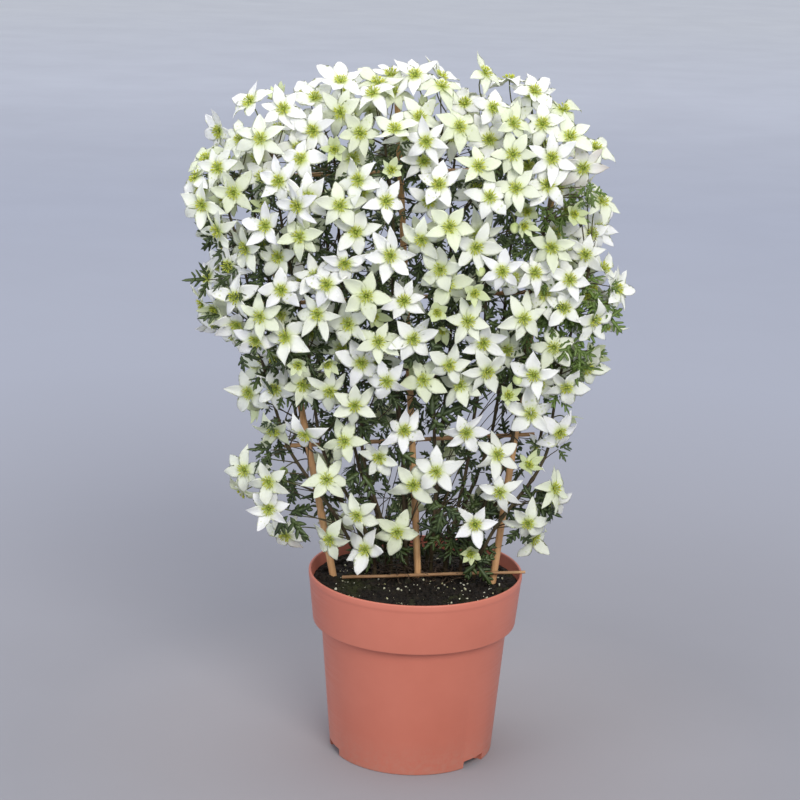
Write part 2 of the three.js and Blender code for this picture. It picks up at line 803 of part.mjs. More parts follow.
function facing(point, isFront) {
  const outward = shapeNormal(point).multiplyScalar(OUTWARD_SHARE);
  const chance = vec(draw(-1, 1), draw(-1, 1), draw(-1, 1)).multiply(LEAN_CHANCE);
  return outward.add(isFront ? FRONT_LEAN : BACK_LEAN).add(chance).normalize();
}

function spacingAt(point) {
  if (point.y > FRONT_EDGE) {
    return BACK_SPACING;
  }
  return point.z < LOW_HEIGHT ? LOW_FRONT_SPACING : FRONT_SPACING;
}

function isApart(eyes, point, spacing) {
  return eyes.every((eye) => eye.distanceTo(point) >= spacing);
}

// A point on the plant's shell, with more of them towards its top

function dart() {
  const low = SHAPE[0][0];
  const high = SHAPE[SHAPE.length - 1][0];
  return shapePoint(draw(0, 2 * Math.PI), THREE.MathUtils.lerp(low, high, draw() ** TOWARDS_TOP));
}

// A point moved straight in from the shell by a depth drawn from a range

function sunk(point, depths) {
  return point.clone().addScaledVector(shapeNormal(point), -draw(...depths));
}

// The blooms of the photograph come first, then the rest of the outer layer, then a layer behind
// the crown's front that shows between them.

function placeBlooms(lanes) {
  const outer = [];
  for (const [x, z] of FRONT_BLOOMS) {
    const point = frontPoint(x, z);
    const style = { ...bloomStyle(), cup: draw(...CHOSEN_CUP), radius: draw(...CHOSEN_RADIUS) };
    if (tryBloom(lanes, point, facing(point, true), style)) {
      outer.push(point);
    }
  }
  for (let i = 0; i < OUTER_DARTS; i += 1) {
    const point = dart();
    if (!isApart(outer, point, spacingAt(point))) {
      continue;
    }
    const normal = facing(point, point.y < FRONT_EDGE);
    if (tryBloom(lanes, sunk(point, OUTER_DEPTH), normal, bloomStyle())) {
      outer.push(point);
    }
  }
  const inner = [];
  for (let i = 0; i < INNER_DARTS; i += 1) {
    const point = dart();
    if (point.y > 0 || point.z < LOW_HEIGHT || !isApart(inner, point, INNER_SPACING)) {
      continue;
    }
    const normal = facing(point, true);
    if (tryBloom(lanes, sunk(point, INNER_DEPTH), normal, bloomStyle(INNER_FIVE_SHARE))) {
      inner.push(point);
    }
  }
}

// Buds nod outwards below the flowers.

function placeBuds(lanes) {
  let count = 0;
  for (let i = 0; i < BUD_DARTS && count < BUD_COUNT; i += 1) {
    const centre = shapePoint(draw(0, 2 * Math.PI), draw(...BUD_HEIGHTS));
    centre.addScaledVector(shapeNormal(centre), -draw(0, BUD_INSET));
    const lane = nearestLane(lanes, centre);
    const normal = vec(draw(-0.4, 0.4), 0.9 * Math.sign(centre.y), BUD_NOD).normalize();
    const bud = budSolids(lane, { centre, normal, spin: draw(0, 2) });
    if (bud !== null && isClear(bud.whole, bud.blade, lane)) {
      keep(lane, bud.whole, bud.blade);
      count += 1;
    }
  }
}

// Leaves stand between their stem and the shell, more of them low on the plant.

function placeLeaves(lanes) {
  let count = 0;
  for (let i = 0; i < LEAF_DARTS && count < LEAF_COUNT; i += 1) {
    const isLow = draw() < LOW_LEAF_SHARE;
    const height = draw(...(isLow ? LOW_LEAF_HEIGHTS : HIGH_LEAF_HEIGHTS));
    const shell = shapePoint(draw(0, 2 * Math.PI), height);
    const reach = draw(...(isLow ? LOW_LEAF_REACH : HIGH_LEAF_REACH));
    const lane = nearestLane(lanes, shell);
    const centre = lane.at(Math.min(height, lane.top)).lerp(shell, reach).setZ(height);
    const outward = shapeNormal(shell);
    const chance = vec(draw(-0.5, 0.5), draw(-0.3, 0.3), draw(0.1, 0.9));
    const normal = outward.clone().add(chance).normalize();
    const tip = vec(draw(-1, 1), outward.y, draw(-1, 0.5)).normalize();
    const size = draw(...LEAF_SIZE);
    if ((centre.y < 0) !== lane.isFront || Math.abs(tip.dot(normal)) > STEEPEST_TIP) {
      continue;
    }
    const leaf = leafSolids(lane, { centre, normal, tip, size });
    if (leaf !== null && isClear(leaf.whole, leaf.blade, lane)) {
      keep(lane, leaf.whole, leaf.blade);
      count += 1;
    }
  }
}

// The soil fills the pot to a little under the rim, with a plain hole round each cane and stem.

function soilProfile() {
  const bandFoot = POT_HEIGHT - BAND_HEIGHT;
  const slack = POT_WALL + 2 * CLEARANCE;
  const floor = CHANNEL_HEIGHT + FLOOR_THICKNESS + CLEARANCE;
  const rimShare = (SOIL_HEIGHT - bandFoot) / BAND_HEIGHT;
  const wallAtTop = THREE.MathUtils.lerp(BAND_RADIUS, RIM_RADIUS, rimShare) - slack;
  return [
    [0, floor],
    [FOOT_RING_RADIUS - 0.6, floor],
    [BODY_TOP_RADIUS - slack - 0.4, bandFoot - 4.5],
    [BAND_RADIUS - slack - 0.2, bandFoot + 2.5],
    [wallAtTop, SOIL_HEIGHT],
    [66, SOIL_HEIGHT],
    [34, SOIL_HEIGHT],
    [0, SOIL_HEIGHT],
  ];
}

function soilBump(x, y) {
  return Math.sin(x / 13 + 1) * Math.cos(y / 11) + 0.5 * Math.sin((x - y) / 7);
}

function makeSoil(lanes) {
  const geometry = lathe(soilProfile(), POT_SIDES);
  const points = geometry.attributes.position;
  for (let i = 0; i < points.count; i += 1) {
    const x = points.getX(i);
    const y = points.getY(i);
    if (points.getZ(i) > SOIL_HEIGHT - 0.01) {
      const fade = Math.hypot(x, y) < SOIL_LEVEL_RADIUS ? 1 : SOIL_EDGE_SHARE;
      points.setZ(i, SOIL_HEIGHT + SOIL_MOUND * fade * soilBump(x, y));
    }
  }
  let soil = solidOfGeometry(geometry);
  for (const cane of CANES) {
    const hole = named('hole', caneGeometry(cane, 2 * CLEARANCE, 2 * CLEARANCE), PEAT);
    soil = soil.subtract(placedSolid(place(hole, cane.x, 0, CANE_FOOT_HEIGHT, Math.atan(cane.lean))));
  }
  for (const lane of lanes) {
    soil = soil.subtract(stemSolid(lane, 2 * CLEARANCE, [HOLE_FLOOR, STEM_FOOT, SOIL_EXIT]));
  }
  return named('soil', geometryOf(soil), PEAT);
}

// Assembly

const plant = new THREE.Group();

const frontLanes = FRONT_SLOPES.map((slope, i) => {
  return makeLane(`flowering_stem_front_${i + 1}`, FRONT_FEET[i], slope, true, i);
});
const backLanes = BACK_SLOPES.map((slope, i) => {
  return makeLane(`flowering_stem_back_${i + 1}`, BACK_FEET[i], slope, false, i + 1 + frontLanes.length);
});
const lanes = [...frontLanes, ...backLanes];

const fixed = [
  makePot(),
  makeSoil(lanes),
  ...CANES.map(makeCane),
  makeBar(SOIL_BAR, SPLIT_CANE),
  ...BARS.map((bar) => makeBar(bar, SPLIT_CANE)),
  ...BARS.flatMap((bar, i) => CANES.map((cane, j) => makeTie(cane, bar, (i + j) % 2 ? 1 : -1))),
];
fixed.forEach((mesh) => plant.add(mesh));
fixed.forEach((mesh) => keep(null, placedSolid(mesh), null));
lanes.forEach((lane) => keep(lane, stemSolid(lane), null));

placeBlooms(lanes);
placeBuds(lanes);
placeLeaves(lanes);

for (const lane of lanes) {
  const grown = wasm.Manifold.union(lane.solids).simplify(SHORTEST_EDGE);
  plant.add(named(lane.name, geometryOf(grown), VINE));
}

export default plant;
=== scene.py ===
# %% [markdown]
# # Potted clematis cartmanii on a bamboo fan
# The real thing is a young climbing plant in a 19 cm plastic pot. Three bamboo canes stand in the
# peat, thin split canes are tied across them, and wiry stems climb the fan and end in a crown of
# white flowers of five to seven parts, with yellow-green eyes.
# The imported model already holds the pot, the canes and every flower, leaf and bud in its place,
# as plain solids. This script keeps those places and gives each piece its real surface.

import math

import bpy
import numpy as np
from mathutils import Matrix


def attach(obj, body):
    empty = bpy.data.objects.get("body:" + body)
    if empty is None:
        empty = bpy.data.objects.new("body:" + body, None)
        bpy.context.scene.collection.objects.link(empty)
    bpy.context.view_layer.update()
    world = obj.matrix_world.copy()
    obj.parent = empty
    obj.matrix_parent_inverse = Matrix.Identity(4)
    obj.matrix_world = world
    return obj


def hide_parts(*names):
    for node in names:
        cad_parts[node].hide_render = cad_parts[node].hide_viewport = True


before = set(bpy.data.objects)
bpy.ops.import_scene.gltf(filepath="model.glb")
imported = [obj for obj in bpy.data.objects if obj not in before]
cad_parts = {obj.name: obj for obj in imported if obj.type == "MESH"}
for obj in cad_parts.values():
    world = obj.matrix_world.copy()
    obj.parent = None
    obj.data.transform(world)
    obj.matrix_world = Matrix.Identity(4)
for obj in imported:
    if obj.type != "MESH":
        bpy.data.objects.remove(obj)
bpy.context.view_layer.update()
MM = 0.001
draw = np.random.default_rng(7061)

# %% [markdown]
# ## Camera, light and floor
# The photograph was taken from 1.7 m away and a little above, with a long lens. The pot's rim,
# band and foot fix that place, so the camera is written down as a place, a pitch and a small roll.
# Product photographs of white flowers are lit by large soft sources, or the petals lose their
# form, so the light here is three big panels and a pale sky. The floor runs on far behind the
# plant and fills the view, as a paper sweep does.

# %% Camera
CAMERA_PLACE = np.array([-17.853, -1727.324, 777.934]) * MM
CAMERA_PITCH = math.radians(14.817)
CAMERA_ROLL = math.radians(1.575)
LENS_ON_36_MM = 92.25


def standing(right, up, back, place):
    """The matrix of a camera or a lamp with these three axes, at this place."""
    turned = np.eye(4)
    turned[:3, 0], turned[:3, 1], turned[:3, 2], turned[:3, 3] = right, up, back, place
    return Matrix(turned.tolist())


ahead = np.array([0, math.cos(CAMERA_PITCH), -math.sin(CAMERA_PITCH)])
level_right = np.array([1.0, 0, 0])
level_up = np.cross(level_right, ahead)
right = level_right * math.cos(CAMERA_ROLL) + level_up * math.sin(CAMERA_ROLL)
up = level_up * math.cos(CAMERA_ROLL) - level_right * math.sin(CAMERA_ROLL)

camera = bpy.data.objects.new("camera", bpy.data.cameras.new("camera"))
camera.data.lens = LENS_ON_36_MM
camera.data.sensor_width = 36
camera.matrix_world = standing(right, up, -ahead, CAMERA_PLACE)
bpy.context.scene.collection.objects.link(camera)
bpy.context.scene.camera = camera
bpy.context.scene.view_settings.view_transform = "Standard"
print("camera at", np.round(CAMERA_PLACE, 3).tolist())


# %% Colours
def srgb(red, green, blue):
    """A screen colour from 0 to 255 as the linear colour that shaders and lights use."""
    part = np.array([red, green, blue]) / 255
    linear = np.where(part <= 0.04045, part / 12.92, ((part + 0.055) / 1.055) ** 2.4)
    return (*linear.tolist(), 1.0)


print("screen grey 128 in linear light:", round(srgb(128, 128, 128)[0], 3))

# %% Lights
LIGHTS = {
    "front_panel": dict(place=(0.75, -2.3, 1.9), size=1.3, power=50, colour=(255, 252, 246)),
    "side_panel": dict(place=(-1.9, -1.3, 1.4), size=1.5, power=12, colour=(246, 248, 255)),
    "top_panel": dict(place=(-0.2, 0.4, 2.6), size=1.9, power=26, colour=(255, 255, 255)),
}
LIT_PLACE = np.array([0, 0, 0.33])
SKY_COLOUR, SKY_STRENGTH = srgb(214, 217, 228), 0.8

for name, light in LIGHTS.items():
    panel = bpy.data.lights.new(name, "AREA")
    panel.size = light["size"]
    panel.energy = light["power"]
    panel.color = srgb(*light["colour"])[:3]
    lamp = bpy.data.objects.new(name, panel)
    bpy.context.scene.collection.objects.link(lamp)
    aim = LIT_PLACE - np.array(light["place"])
    back = -aim / np.linalg.norm(aim)
    side = np.cross([0, 0, 1], back)
    side /= np.linalg.norm(side)
    lamp.matrix_world = standing(side, np.cross(back, side), back, light["place"])

world = bpy.data.worlds.new("pale_studio")
world.use_nodes = True
world.node_tree.nodes["Background"].inputs["Color"].default_value = SKY_COLOUR
world.node_tree.nodes["Background"].inputs["Strength"].default_value = SKY_STRENGTH
bpy.context.scene.world = world
print(len(LIGHTS), "light panels")

# %% [markdown]
# ## Shapes as arrays
# Nearly every part of this plant is a closed skin round a line: a petal, a stalk, a stamen, a cane
# and a crumb of soil differ only in the rings that stand along the line. So one function turns
# whole arrays of rings into faces, and each piece only has to say where its rings are.


# %% Skins
def unit(vectors):
    """Each vector over its own length."""
    return vectors / np.maximum(np.linalg.norm(vectors, axis=-1, keepdims=True), 1e-9)


def round_angles(sides):
    """Angles spaced evenly round a ring."""
    return np.arange(sides) * 2 * np.pi / sides


def skin(rings, start, end):
    """Closed skins over `rings`, an array of (skins, stations, points round, 3).

    Neighbours on a ring and on the next ring make a four-sided face, and the first and last
    rings close on the points `start` and `end`. A skin whose volume, the sum of the volumes of
    the pyramids over its faces, comes out negative has its faces turned over.
    """
    count, stations, sides, _ = rings.shape
    size = stations * sides + 2
    points = np.concatenate([rings.reshape(count, -1, 3), start[:, None], end[:, None]], axis=1)
    here = np.arange(sides)
    after = (here + 1) % sides
    row = np.arange(stations - 1)[:, None] * sides
    quads = np.stack([row + here, row + after, row + sides + after, row + sides + here], -1)
    quads = quads.reshape(-1, 4)
    last = (stations - 1) * sides
    foot = np.stack([np.full(sides, size - 2), after, here], -1)
    head = np.stack([np.full(sides, size - 1), last + here, last + after], -1)
    triangles = np.concatenate([foot, head])
    split = np.concatenate([quads[:, [0, 1, 2]], quads[:, [0, 2, 3]], triangles])
    local = points - start[:, None]
    a, b, c = (local[:, split[:, corner]] for corner in range(3))
    inside_out = np.einsum("nfk,nfk->n", a, np.cross(b, c)) < 0
    shift = (np.arange(count) * size)[:, None, None]
    quads, triangles = quads + shift, triangles + shift
    quads[inside_out] = quads[inside_out][:, :, ::-1]
    triangles[inside_out] = triangles[inside_out][:, :, ::-1]
    return points.reshape(-1, 3), quads.reshape(-1, 4), triangles.reshape(-1, 3)


def hoop_skin(rings):
    """One skin over rings (stations, points round, 3) that also closes on itself lengthwise."""
    stations, sides, _ = rings.shape
    row = np.arange(stations)[:, None]
    next_row = (row + 1) % stations
    here = np.arange(sides)[None, :]
    after = (here + 1) % sides
    quads = np.stack(np.broadcast_arrays(row * sides + here, row * sides + after,
                                         next_row * sides + after, next_row * sides + here), -1)
    points, quads = rings.reshape(-1, 3), quads.reshape(-1, 4)
    a, b, c, d = (points[quads[:, corner]] - points[0] for corner in range(4))
    volume = np.einsum("fk,fk->", a, np.cross(b, c)) + np.einsum("fk,fk->", a, np.cross(c, d))
    return points, quads if volume > 0 else quads[:, ::-1], np.zeros((0, 3), int)


def tubes(paths, radii, sides, cap=0.3):
    """Round skins along `paths` (tubes, stations, 3).

    A ring's points lie at that station's radius, on two directions square to the path. The ends
    close on a point `cap` radii beyond the last ring.
    """
    along = unit(np.gradient(paths, axis=1))
    axis = np.eye(3)[np.argmin(np.abs(paths[:, -1] - paths[:, 0]), axis=1)][:, None]
    across = unit(np.cross(along, axis))
    other = np.cross(along, across)
    turn = round_angles(sides)
    circle = (np.cos(turn)[:, None] * across[:, :, None] + np.sin(turn)[:, None] * other[:, :, None])
    rings = paths[:, :, None] + radii[:, :, None, None] * circle
    start = paths[:, 0] - along[:, 0] * radii[:, :1] * cap
    end = paths[:, -1] + along[:, -1] * radii[:, -1:] * cap
    return skin(rings, start, end)


def joined(*skins):
    """Several skins as one, with the later ones' faces counting on from the earlier points."""
    shifts = np.cumsum([0] + [len(one[0]) for one in skins[:-1]])
    return (np.concatenate([one[0] for one in skins]),
            np.concatenate([one[1] + shift for one, shift in zip(skins, shifts)]),
            np.concatenate([one[2] + shift for one, shift in zip(skins, shifts)]))


def bend(start, pull_start, pull_end, end, stations):
    """Smooth paths from start to end: the cubic curve that leaves along pull_start and comes in
    along pull_end, a blend of the four points by the powers of t and 1 - t."""
    t = np.linspace(0, 1, stations)[None, :, None]
    near, far = (start + pull_start)[:, None], (end + pull_end)[:, None]
    return ((1 - t) ** 3 * start[:, None] + 3 * t * (1 - t) ** 2 * near
            + 3 * t ** 2 * (1 - t) * far + t ** 3 * end[:, None])


def flat_rings(reach, turn, spoke, side):
    """Points at that reach and angle in the plane of two directions, for every flower or bud."""
    ahead_part, side_part = reach * np.cos(turn), reach * np.sin(turn)
    return ahead_part[None, ..., None] * spoke + side_part[None, ..., None] * side


def way_paint(ways, sides, count):
    """Paint for equal skins that holds the way along them in all four values."""
    values = np.tile(np.append(np.repeat(ways, sides), (0, 1)), count)
    return np.stack([values] * 4, -1)


# uneven numbers, so that neighbouring corners of the lattice get values that have no pattern
SCRAMBLE, SCRAMBLE_GAIN = np.array([12.9898, 78.233, 37.719]), 43758.5453


def noise(points, cell, seed=0):
    """Smooth noise from -1 to 1: a random value at each corner of a lattice of that cell,
    blended across the cell with smooth steps."""
    scaled = np.asarray(points, float) / cell + 1000
    base = np.floor(scaled)
    t = scaled - base
    t = t * t * (3 - 2 * t)
    total = np.zeros(scaled.shape[:-1])
    for corner in np.ndindex(2, 2, 2):
        hashed = np.sin((base + corner) @ SCRAMBLE + 7.31 * seed) * SCRAMBLE_GAIN
        total += np.prod(np.where(corner, t, 1 - t), axis=-1) * (hashed - np.floor(hashed))
    return 2 * total - 1


# %% Pieces
def add_piece(name, shape, finish, replaces=(), paint=None, uv=None, crease=None):
    """Puts a skin, in millimetres, into a mesh at the origin, and hangs it on the model.

    `paint` is four values a point, and `uv` two, for the finish to read. With `crease`, edges
    that turn more than that many degrees stay sharp.
    """
    points, quads, triangles = shape
    mesh = bpy.data.meshes.new(name)
    mesh.vertices.add(len(points))
    mesh.vertices.foreach_set("co", (points * MM).astype(np.float32).ravel())
    corners = np.concatenate([quads.ravel(), triangles.ravel()]).astype(np.int32)
    sizes = np.repeat([4, 3], [len(quads), len(triangles)])
    mesh.loops.add(len(corners))
    mesh.loops.foreach_set("vertex_index", corners)
    mesh.polygons.add(len(sizes))
    mesh.polygons.foreach_set("loop_start", (np.cumsum(sizes) - sizes).astype(np.int32))
    mesh.update(calc_edges=True)
    mesh.shade_smooth()
    if crease is not None:
        mesh.set_sharp_from_angle(angle=math.radians(crease))
    if uv is not None:
        layer = mesh.uv_layers.new(name="UVMap")
        layer.data.foreach_set("uv", np.asarray(uv, np.float32)[corners].ravel())
    if paint is not None:
        colour = mesh.attributes.new("paint", "FLOAT_COLOR", "POINT")
        colour.data.foreach_set("color", np.asarray(paint, np.float32).ravel())
    mesh.materials.append(finish)
    piece = bpy.data.objects.new(name, mesh)
    bpy.context.scene.collection.objects.link(piece)
    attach(piece, "root")
    if replaces:
        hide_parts(*replaces)
    print(f"{name}: {2 * len(quads) + len(triangles)} triangles")
    return piece


# %% [markdown]
# ## Shared shader effects
# Three effects come back in most finishes: a soft blotchiness of colour, streaks that run along a
# grown or drawn piece, and a fine relief that breaks up the highlight. Each is a node group with
# named sockets, built once, and each finish places it with its own values.


# %% Shader helpers
def node(tree, kind, links=None, **settings):
    """A shader node with its settings, and with its inputs linked or set from a table."""
    made = tree.nodes.new("ShaderNode" + kind)
    for key, value in settings.items():
        setattr(made, key, value)
    for socket, source in (links or {}).items():
        if isinstance(source, bpy.types.NodeSocket):
            tree.links.new(source, made.inputs[socket])
        else:
            made.inputs[socket].default_value = source
    return made


def mixed(tree, factor, first, second):
    """The colour between two others: the colour sockets of a Mix node are its seventh and eighth."""
    return node(tree, "Mix", {0: factor, 6: first, 7: second}, data_type="RGBA").outputs[2]


def reckoned(tree, operation, *values):
    """The result of a Math node."""
    return node(tree, "Math", dict(enumerate(values)), operation=operation).outputs["Value"]


def object_place(tree):
    """The place of each point on the object, in metres."""
    return node(tree, "TexCoord").outputs["Object"]


def painted_values(tree):
    """The four values painted on each point of the mesh."""
    paint = node(tree, "Attribute", attribute_name="paint").outputs
    parts = node(tree, "SeparateColor", dict(Color=paint["Color"])).outputs
    return parts["Red"], parts["Green"], parts["Blue"], paint["Alpha"]


def ramp(tree, value, *stops):
    """A colour read from stops of (place, colour) by a value from 0 to 1."""
    made = node(tree, "ValToRGB", {"Fac": value})
    stairs = made.color_ramp.elements
    while len(stairs) < len(stops):
        stairs.new(0.5)
    for stair, (place, colour) in zip(stairs, stops):
        stair.position = place
        stair.color = colour
    return made.outputs["Color"]


def between(tree, value, low, high, to_low=0.0, to_high=1.0):
    """A value stretched from one range to another and held inside it."""
    return node(tree, "MapRange", {"Value": value, "From Min": low, "From Max": high,
                                   "To Min": to_low, "To Max": to_high}).outputs["Result"]


def new_group(name, inputs, outputs):
    """An empty shader group with the sockets of two tables: name to (type, value)."""
    group = bpy.data.node_groups.new(name, "ShaderNodeTree")
    for direction, sockets in (("INPUT", inputs), ("OUTPUT", outputs)):
        for label, (kind, value) in sockets.items():
            socket = group.interface.new_socket(label, in_out=direction, socket_type="NodeSocket" + kind)
            if value is not None:
                socket.default_value = value
    return group, group.nodes.new("NodeGroupInput").outputs, group.nodes.new("NodeGroupOutput").inputs


def placed(tree, group, **links):
    """A shader group in a finish, with its sockets set by name."""
    made = node(tree, "Group", node_tree=group)
    for label, source in links.items():
        socket = made.inputs[label.replace("_", " ")]
        if isinstance(source, bpy.types.NodeSocket):
            tree.links.new(source, socket)
        else:
            socket.default_value = source
    return made.outputs


def new_finish(name, **constants):
    """A material with a Principled shader whose constant values are set by socket name."""
    finish = bpy.data.materials.new(name)
    finish.use_nodes = True
    tree = finish.node_tree
    shader = tree.nodes["Principled BSDF"]
    for label, value in constants.items():
        shader.inputs[label.replace("_", " ")].default_value = value
    return finish, tree, shader


def finish_with(tree, shader, colour=None, roughness=None, height=None, depth=0.0002):
    """Links the colour, the roughness and a relief `depth` metres deep to the shader."""
    if colour is not None:
        tree.links.new(colour, shader.inputs["Base Color"])
    if roughness is not None:
        tree.links.new(roughness, shader.inputs["Roughness"])
    if height is not None:
        bump = node(tree, "Bump", {"Height": height, "Distance": depth, "Strength": 1.0})
        tree.links.new(bump.outputs["Normal"], shader.inputs["Normal"])


# %% Shader groups
mottle, given, result = new_group(
    "mottle",
    dict(Vector=("Vector", None), Scale=("Float", 60.0), Light=("Color", (1, 1, 1, 1)),
         Dark=("Color", (0, 0, 0, 1))),
    dict(Colour=("Color", None), Mask=("Float", None)),
)
cloud = node(mottle, "TexNoise", dict(Vector=given["Vector"], Scale=given["Scale"], Detail=4.0,
                                      Roughness=0.6))
patch = between(mottle, cloud.outputs["Fac"], 0.32, 0.68)
mottle.links.new(patch, result["Mask"])
mottle.links.new(mixed(mottle, patch, given["Light"], given["Dark"]), result["Colour"])

streaks, given, result = new_group(
    "streaks",
    dict(Vector=("Vector", None), Across=("Float", 900.0), Along=("Float", 25.0)),
    dict(Mask=("Float", None)),
)
stretch = node(streaks, "CombineXYZ", dict(X=given["Across"], Y=given["Across"], Z=given["Along"]))
drawn_out = node(streaks, "VectorMath", {0: given["Vector"], 1: stretch.outputs["Vector"]},
                 operation="MULTIPLY")
fibre = node(streaks, "TexNoise", dict(Vector=drawn_out.outputs["Vector"], Scale=1.0, Detail=3.0))
streaks.links.new(between(streaks, fibre.outputs["Fac"], 0.3, 0.7), result["Mask"])

relief, given, result = new_group(
    "relief",
    dict(Vector=("Vector", None), Scale=("Float", 800.0), Coarse=("Float", 120.0)),
    dict(Height=("Float", None)),
)
fine = node(relief, "TexNoise", dict(Vector=given["Vector"], Scale=given["Scale"], Detail=3.0))
wide = node(relief, "TexNoise", dict(Vector=given["Vector"], Scale=given["Coarse"], Detail=2.0))
both = reckoned(relief, "ADD", fine.outputs["Fac"], wide.outputs["Fac"])
relief.links.new(both, result["Height"])
print("shader groups:", [group.name for group in bpy.data.node_groups])

# %% [markdown]
# ## The pot
# A moulded plastic pot is a body of revolution: a tapered wall under a taller rim band that hides
# the next pot's edge in a stack. Its profile is drawn once, from the middle of the underside out,
# up, over the rim and back in, every corner is rounded a little as a mould does, and the profile
# is turned round the axis. The water notches in the foot and the drain holes are cut out of it.

# %% Pot: sizes and shape
POT_HEIGHT, RIM_RADIUS, BAND_RADIUS, BAND_FOOT = 166, 95, 90.4, 121
BODY_TOP_RADIUS, FOOT_RADIUS, POT_WALL = 83, 73.2, 2.2
DISC_RADIUS, CHANNEL_INNER, CHANNEL_OUTER, CHANNEL_HEIGHT = 54, 56.5, 66.5, 6.5
FOOT_RING_RADIUS, FLOOR_THICKNESS = 68.5, 2.5
NOTCHES, NOTCH_WIDTH, NOTCH_HEIGHT, FIRST_NOTCH = 3, 26, 7, math.radians(-40)
DRAINS, DRAIN_RADIUS = 6, 4.5
POT_SIDES, CORNER_RADIUS = 144, 1.1


def rounded(profile, radius):
    """A profile with each inner corner replaced by a short curve that starts `radius` before it."""
    profile = np.asarray(profile, float)
    before, corner, after = profile[:-2], profile[1:-1], profile[2:]

    def towards(other):
        """The place `radius` from each corner towards that neighbour, or less on a short side."""
        step = other - corner
        length = np.linalg.norm(step, axis=1, keepdims=True)
        return corner + step * np.minimum(radius / length, 0.45)

    t = np.linspace(0, 1, 4)[None, :, None]
    curve = ((1 - t) ** 2 * towards(before)[:, None] + 2 * t * (1 - t) * corner[:, None]
             + t ** 2 * towards(after)[:, None])
    return curve.reshape(-1, 2)


def turned_round(profile, sides):
    """A profile of (radius, height) carried round the upright axis, closed on its two ends."""
    turn = round_angles(sides)
    inner = np.asarray(profile, float)[1:-1]
    rings = np.stack([inner[:, :1] * np.cos(turn), inner[:, :1] * np.sin(turn),
                      np.repeat(inner[:, 1:], sides, axis=1)], -1)
    ends = np.array([[0, 0, profile[0][1]], [0, 0, profile[-1][1]]], float)
    return skin(rings[None], ends[:1], ends[1:])


floor_top = CHANNEL_HEIGHT + FLOOR_THICKNESS
pot_profile = [
    (0, 0), (DISC_RADIUS, 0), (CHANNEL_INNER, CHANNEL_HEIGHT), (CHANNEL_OUTER, CHANNEL_HEIGHT),
    (FOOT_RING_RADIUS, 0), (FOOT_RADIUS, 0), (BODY_TOP_RADIUS, BAND_FOOT - 2.5),
    (BAND_RADIUS, BAND_FOOT - 1.2), (RIM_RADIUS - 0.6, POT_HEIGHT - 7), (RIM_RADIUS, POT_HEIGHT - 5),
    (RIM_RADIUS, POT_HEIGHT), (RIM_RADIUS - POT_WALL, POT_HEIGHT),
    (BAND_RADIUS - POT_WALL, BAND_FOOT + 1.5), (BODY_TOP_RADIUS - POT_WALL, BAND_FOOT - 4.5),
    (FOOT_RADIUS - POT_WALL - 0.4, floor_top + 2), (FOOT_RING_RADIUS + 0.3, floor_top),
    (CHANNEL_INNER + 0.5, floor_top), (DISC_RADIUS + 0.5, FLOOR_THICKNESS), (0, FLOOR_THICKNESS),
]
rounded_corners = rounded(pot_profile, CORNER_RADIUS).tolist()
soft_profile = [pot_profile[0], *rounded_corners, pot_profile[-1]]
pot_shape = turned_round(soft_profile, POT_SIDES)
print("pot profile points:", len(soft_profile))

# %% [markdown]
# Terracotta-coloured plastic is dyed all through, so it has one even colour with only a little
# clouding from the mould's flow, a satin gloss, and hair-fine scuffs round the wall where pots
# rub in the stack. Splashed compost leaves a pale dust near the foot.

# %% Pot: finish
plastic, tree, shader = new_finish("terracotta_plastic", IOR=1.49, Specular_IOR_Level=0.45)
spot = object_place(tree)
flow = placed(tree, mottle, Vector=spot, Scale=9.0, Light=srgb(210, 125, 104), Dark=srgb(201, 116, 95))
height = node(tree, "SeparateXYZ", dict(Vector=spot)).outputs["Z"]
dusty = between(tree, height, 0.035, 0.0, 0.0, 0.55)
speck = placed(tree, mottle, Vector=spot, Scale=260.0)["Mask"]
dust = reckoned(tree, "MULTIPLY", dusty, speck)
colour = mixed(tree, dust, flow["Colour"], srgb(196, 142, 124))
rub = node(tree, "Mapping", dict(Vector=spot, Scale=(8, 8, 900)))
scuff = node(tree, "TexNoise", dict(Vector=rub.outputs["Vector"], Scale=1.0, Detail=2.0))
gloss = between(tree, scuff.outputs["Fac"], 0.3, 0.75, 0.36, 0.5)
grain = placed(tree, relief, Vector=spot, Scale=1500.0, Coarse=70.0)["Height"]
finish_with(tree, shader, colour, gloss, grain, 0.00006)

pot = add_piece("pot_shell", pot_shape, plastic, replaces=["pot"])


# %% Pot: notches and drains
def cut_out(piece, tools, crease):
    """Cuts closed skins out of a piece, and keeps the edges of the cut sharp."""
    for index, shape in enumerate(tools):
        tool = add_piece(f"cutter_{index}", shape, plastic)
        cut = piece.modifiers.new("cut", "BOOLEAN")
        cut.object = tool
        cut.solver = "EXACT"
        with bpy.context.temp_override(object=piece, active_object=piece):
            bpy.ops.object.modifier_apply(modifier="cut")
        bpy.data.objects.remove(tool)
    piece.data.shade_smooth()
    piece.data.set_sharp_from_angle(angle=math.radians(crease))


def upright_post(radius, low, high, sides, centre, turn, squash):
    """An upright skin of that many sides: radial reach `radius` times `squash` (out, round)."""
    angle = (np.arange(sides) + 0.5) * 2 * np.pi / sides
    out = centre + radius * squash[0] * np.cos(angle)
    round_way = radius * squash[1] * np.sin(angle)
    ring = np.stack([out * np.cos(turn) - round_way * np.sin(turn),
                     out * np.sin(turn) + round_way * np.cos(turn)], -1)
    levels = np.array([low, high], float)
    rings = np.stack([np.column_stack([ring, np.full(sides, level)]) for level in levels])
    middle = rings.mean(axis=1)
    return skin(rings[None], middle[:1], middle[1:])


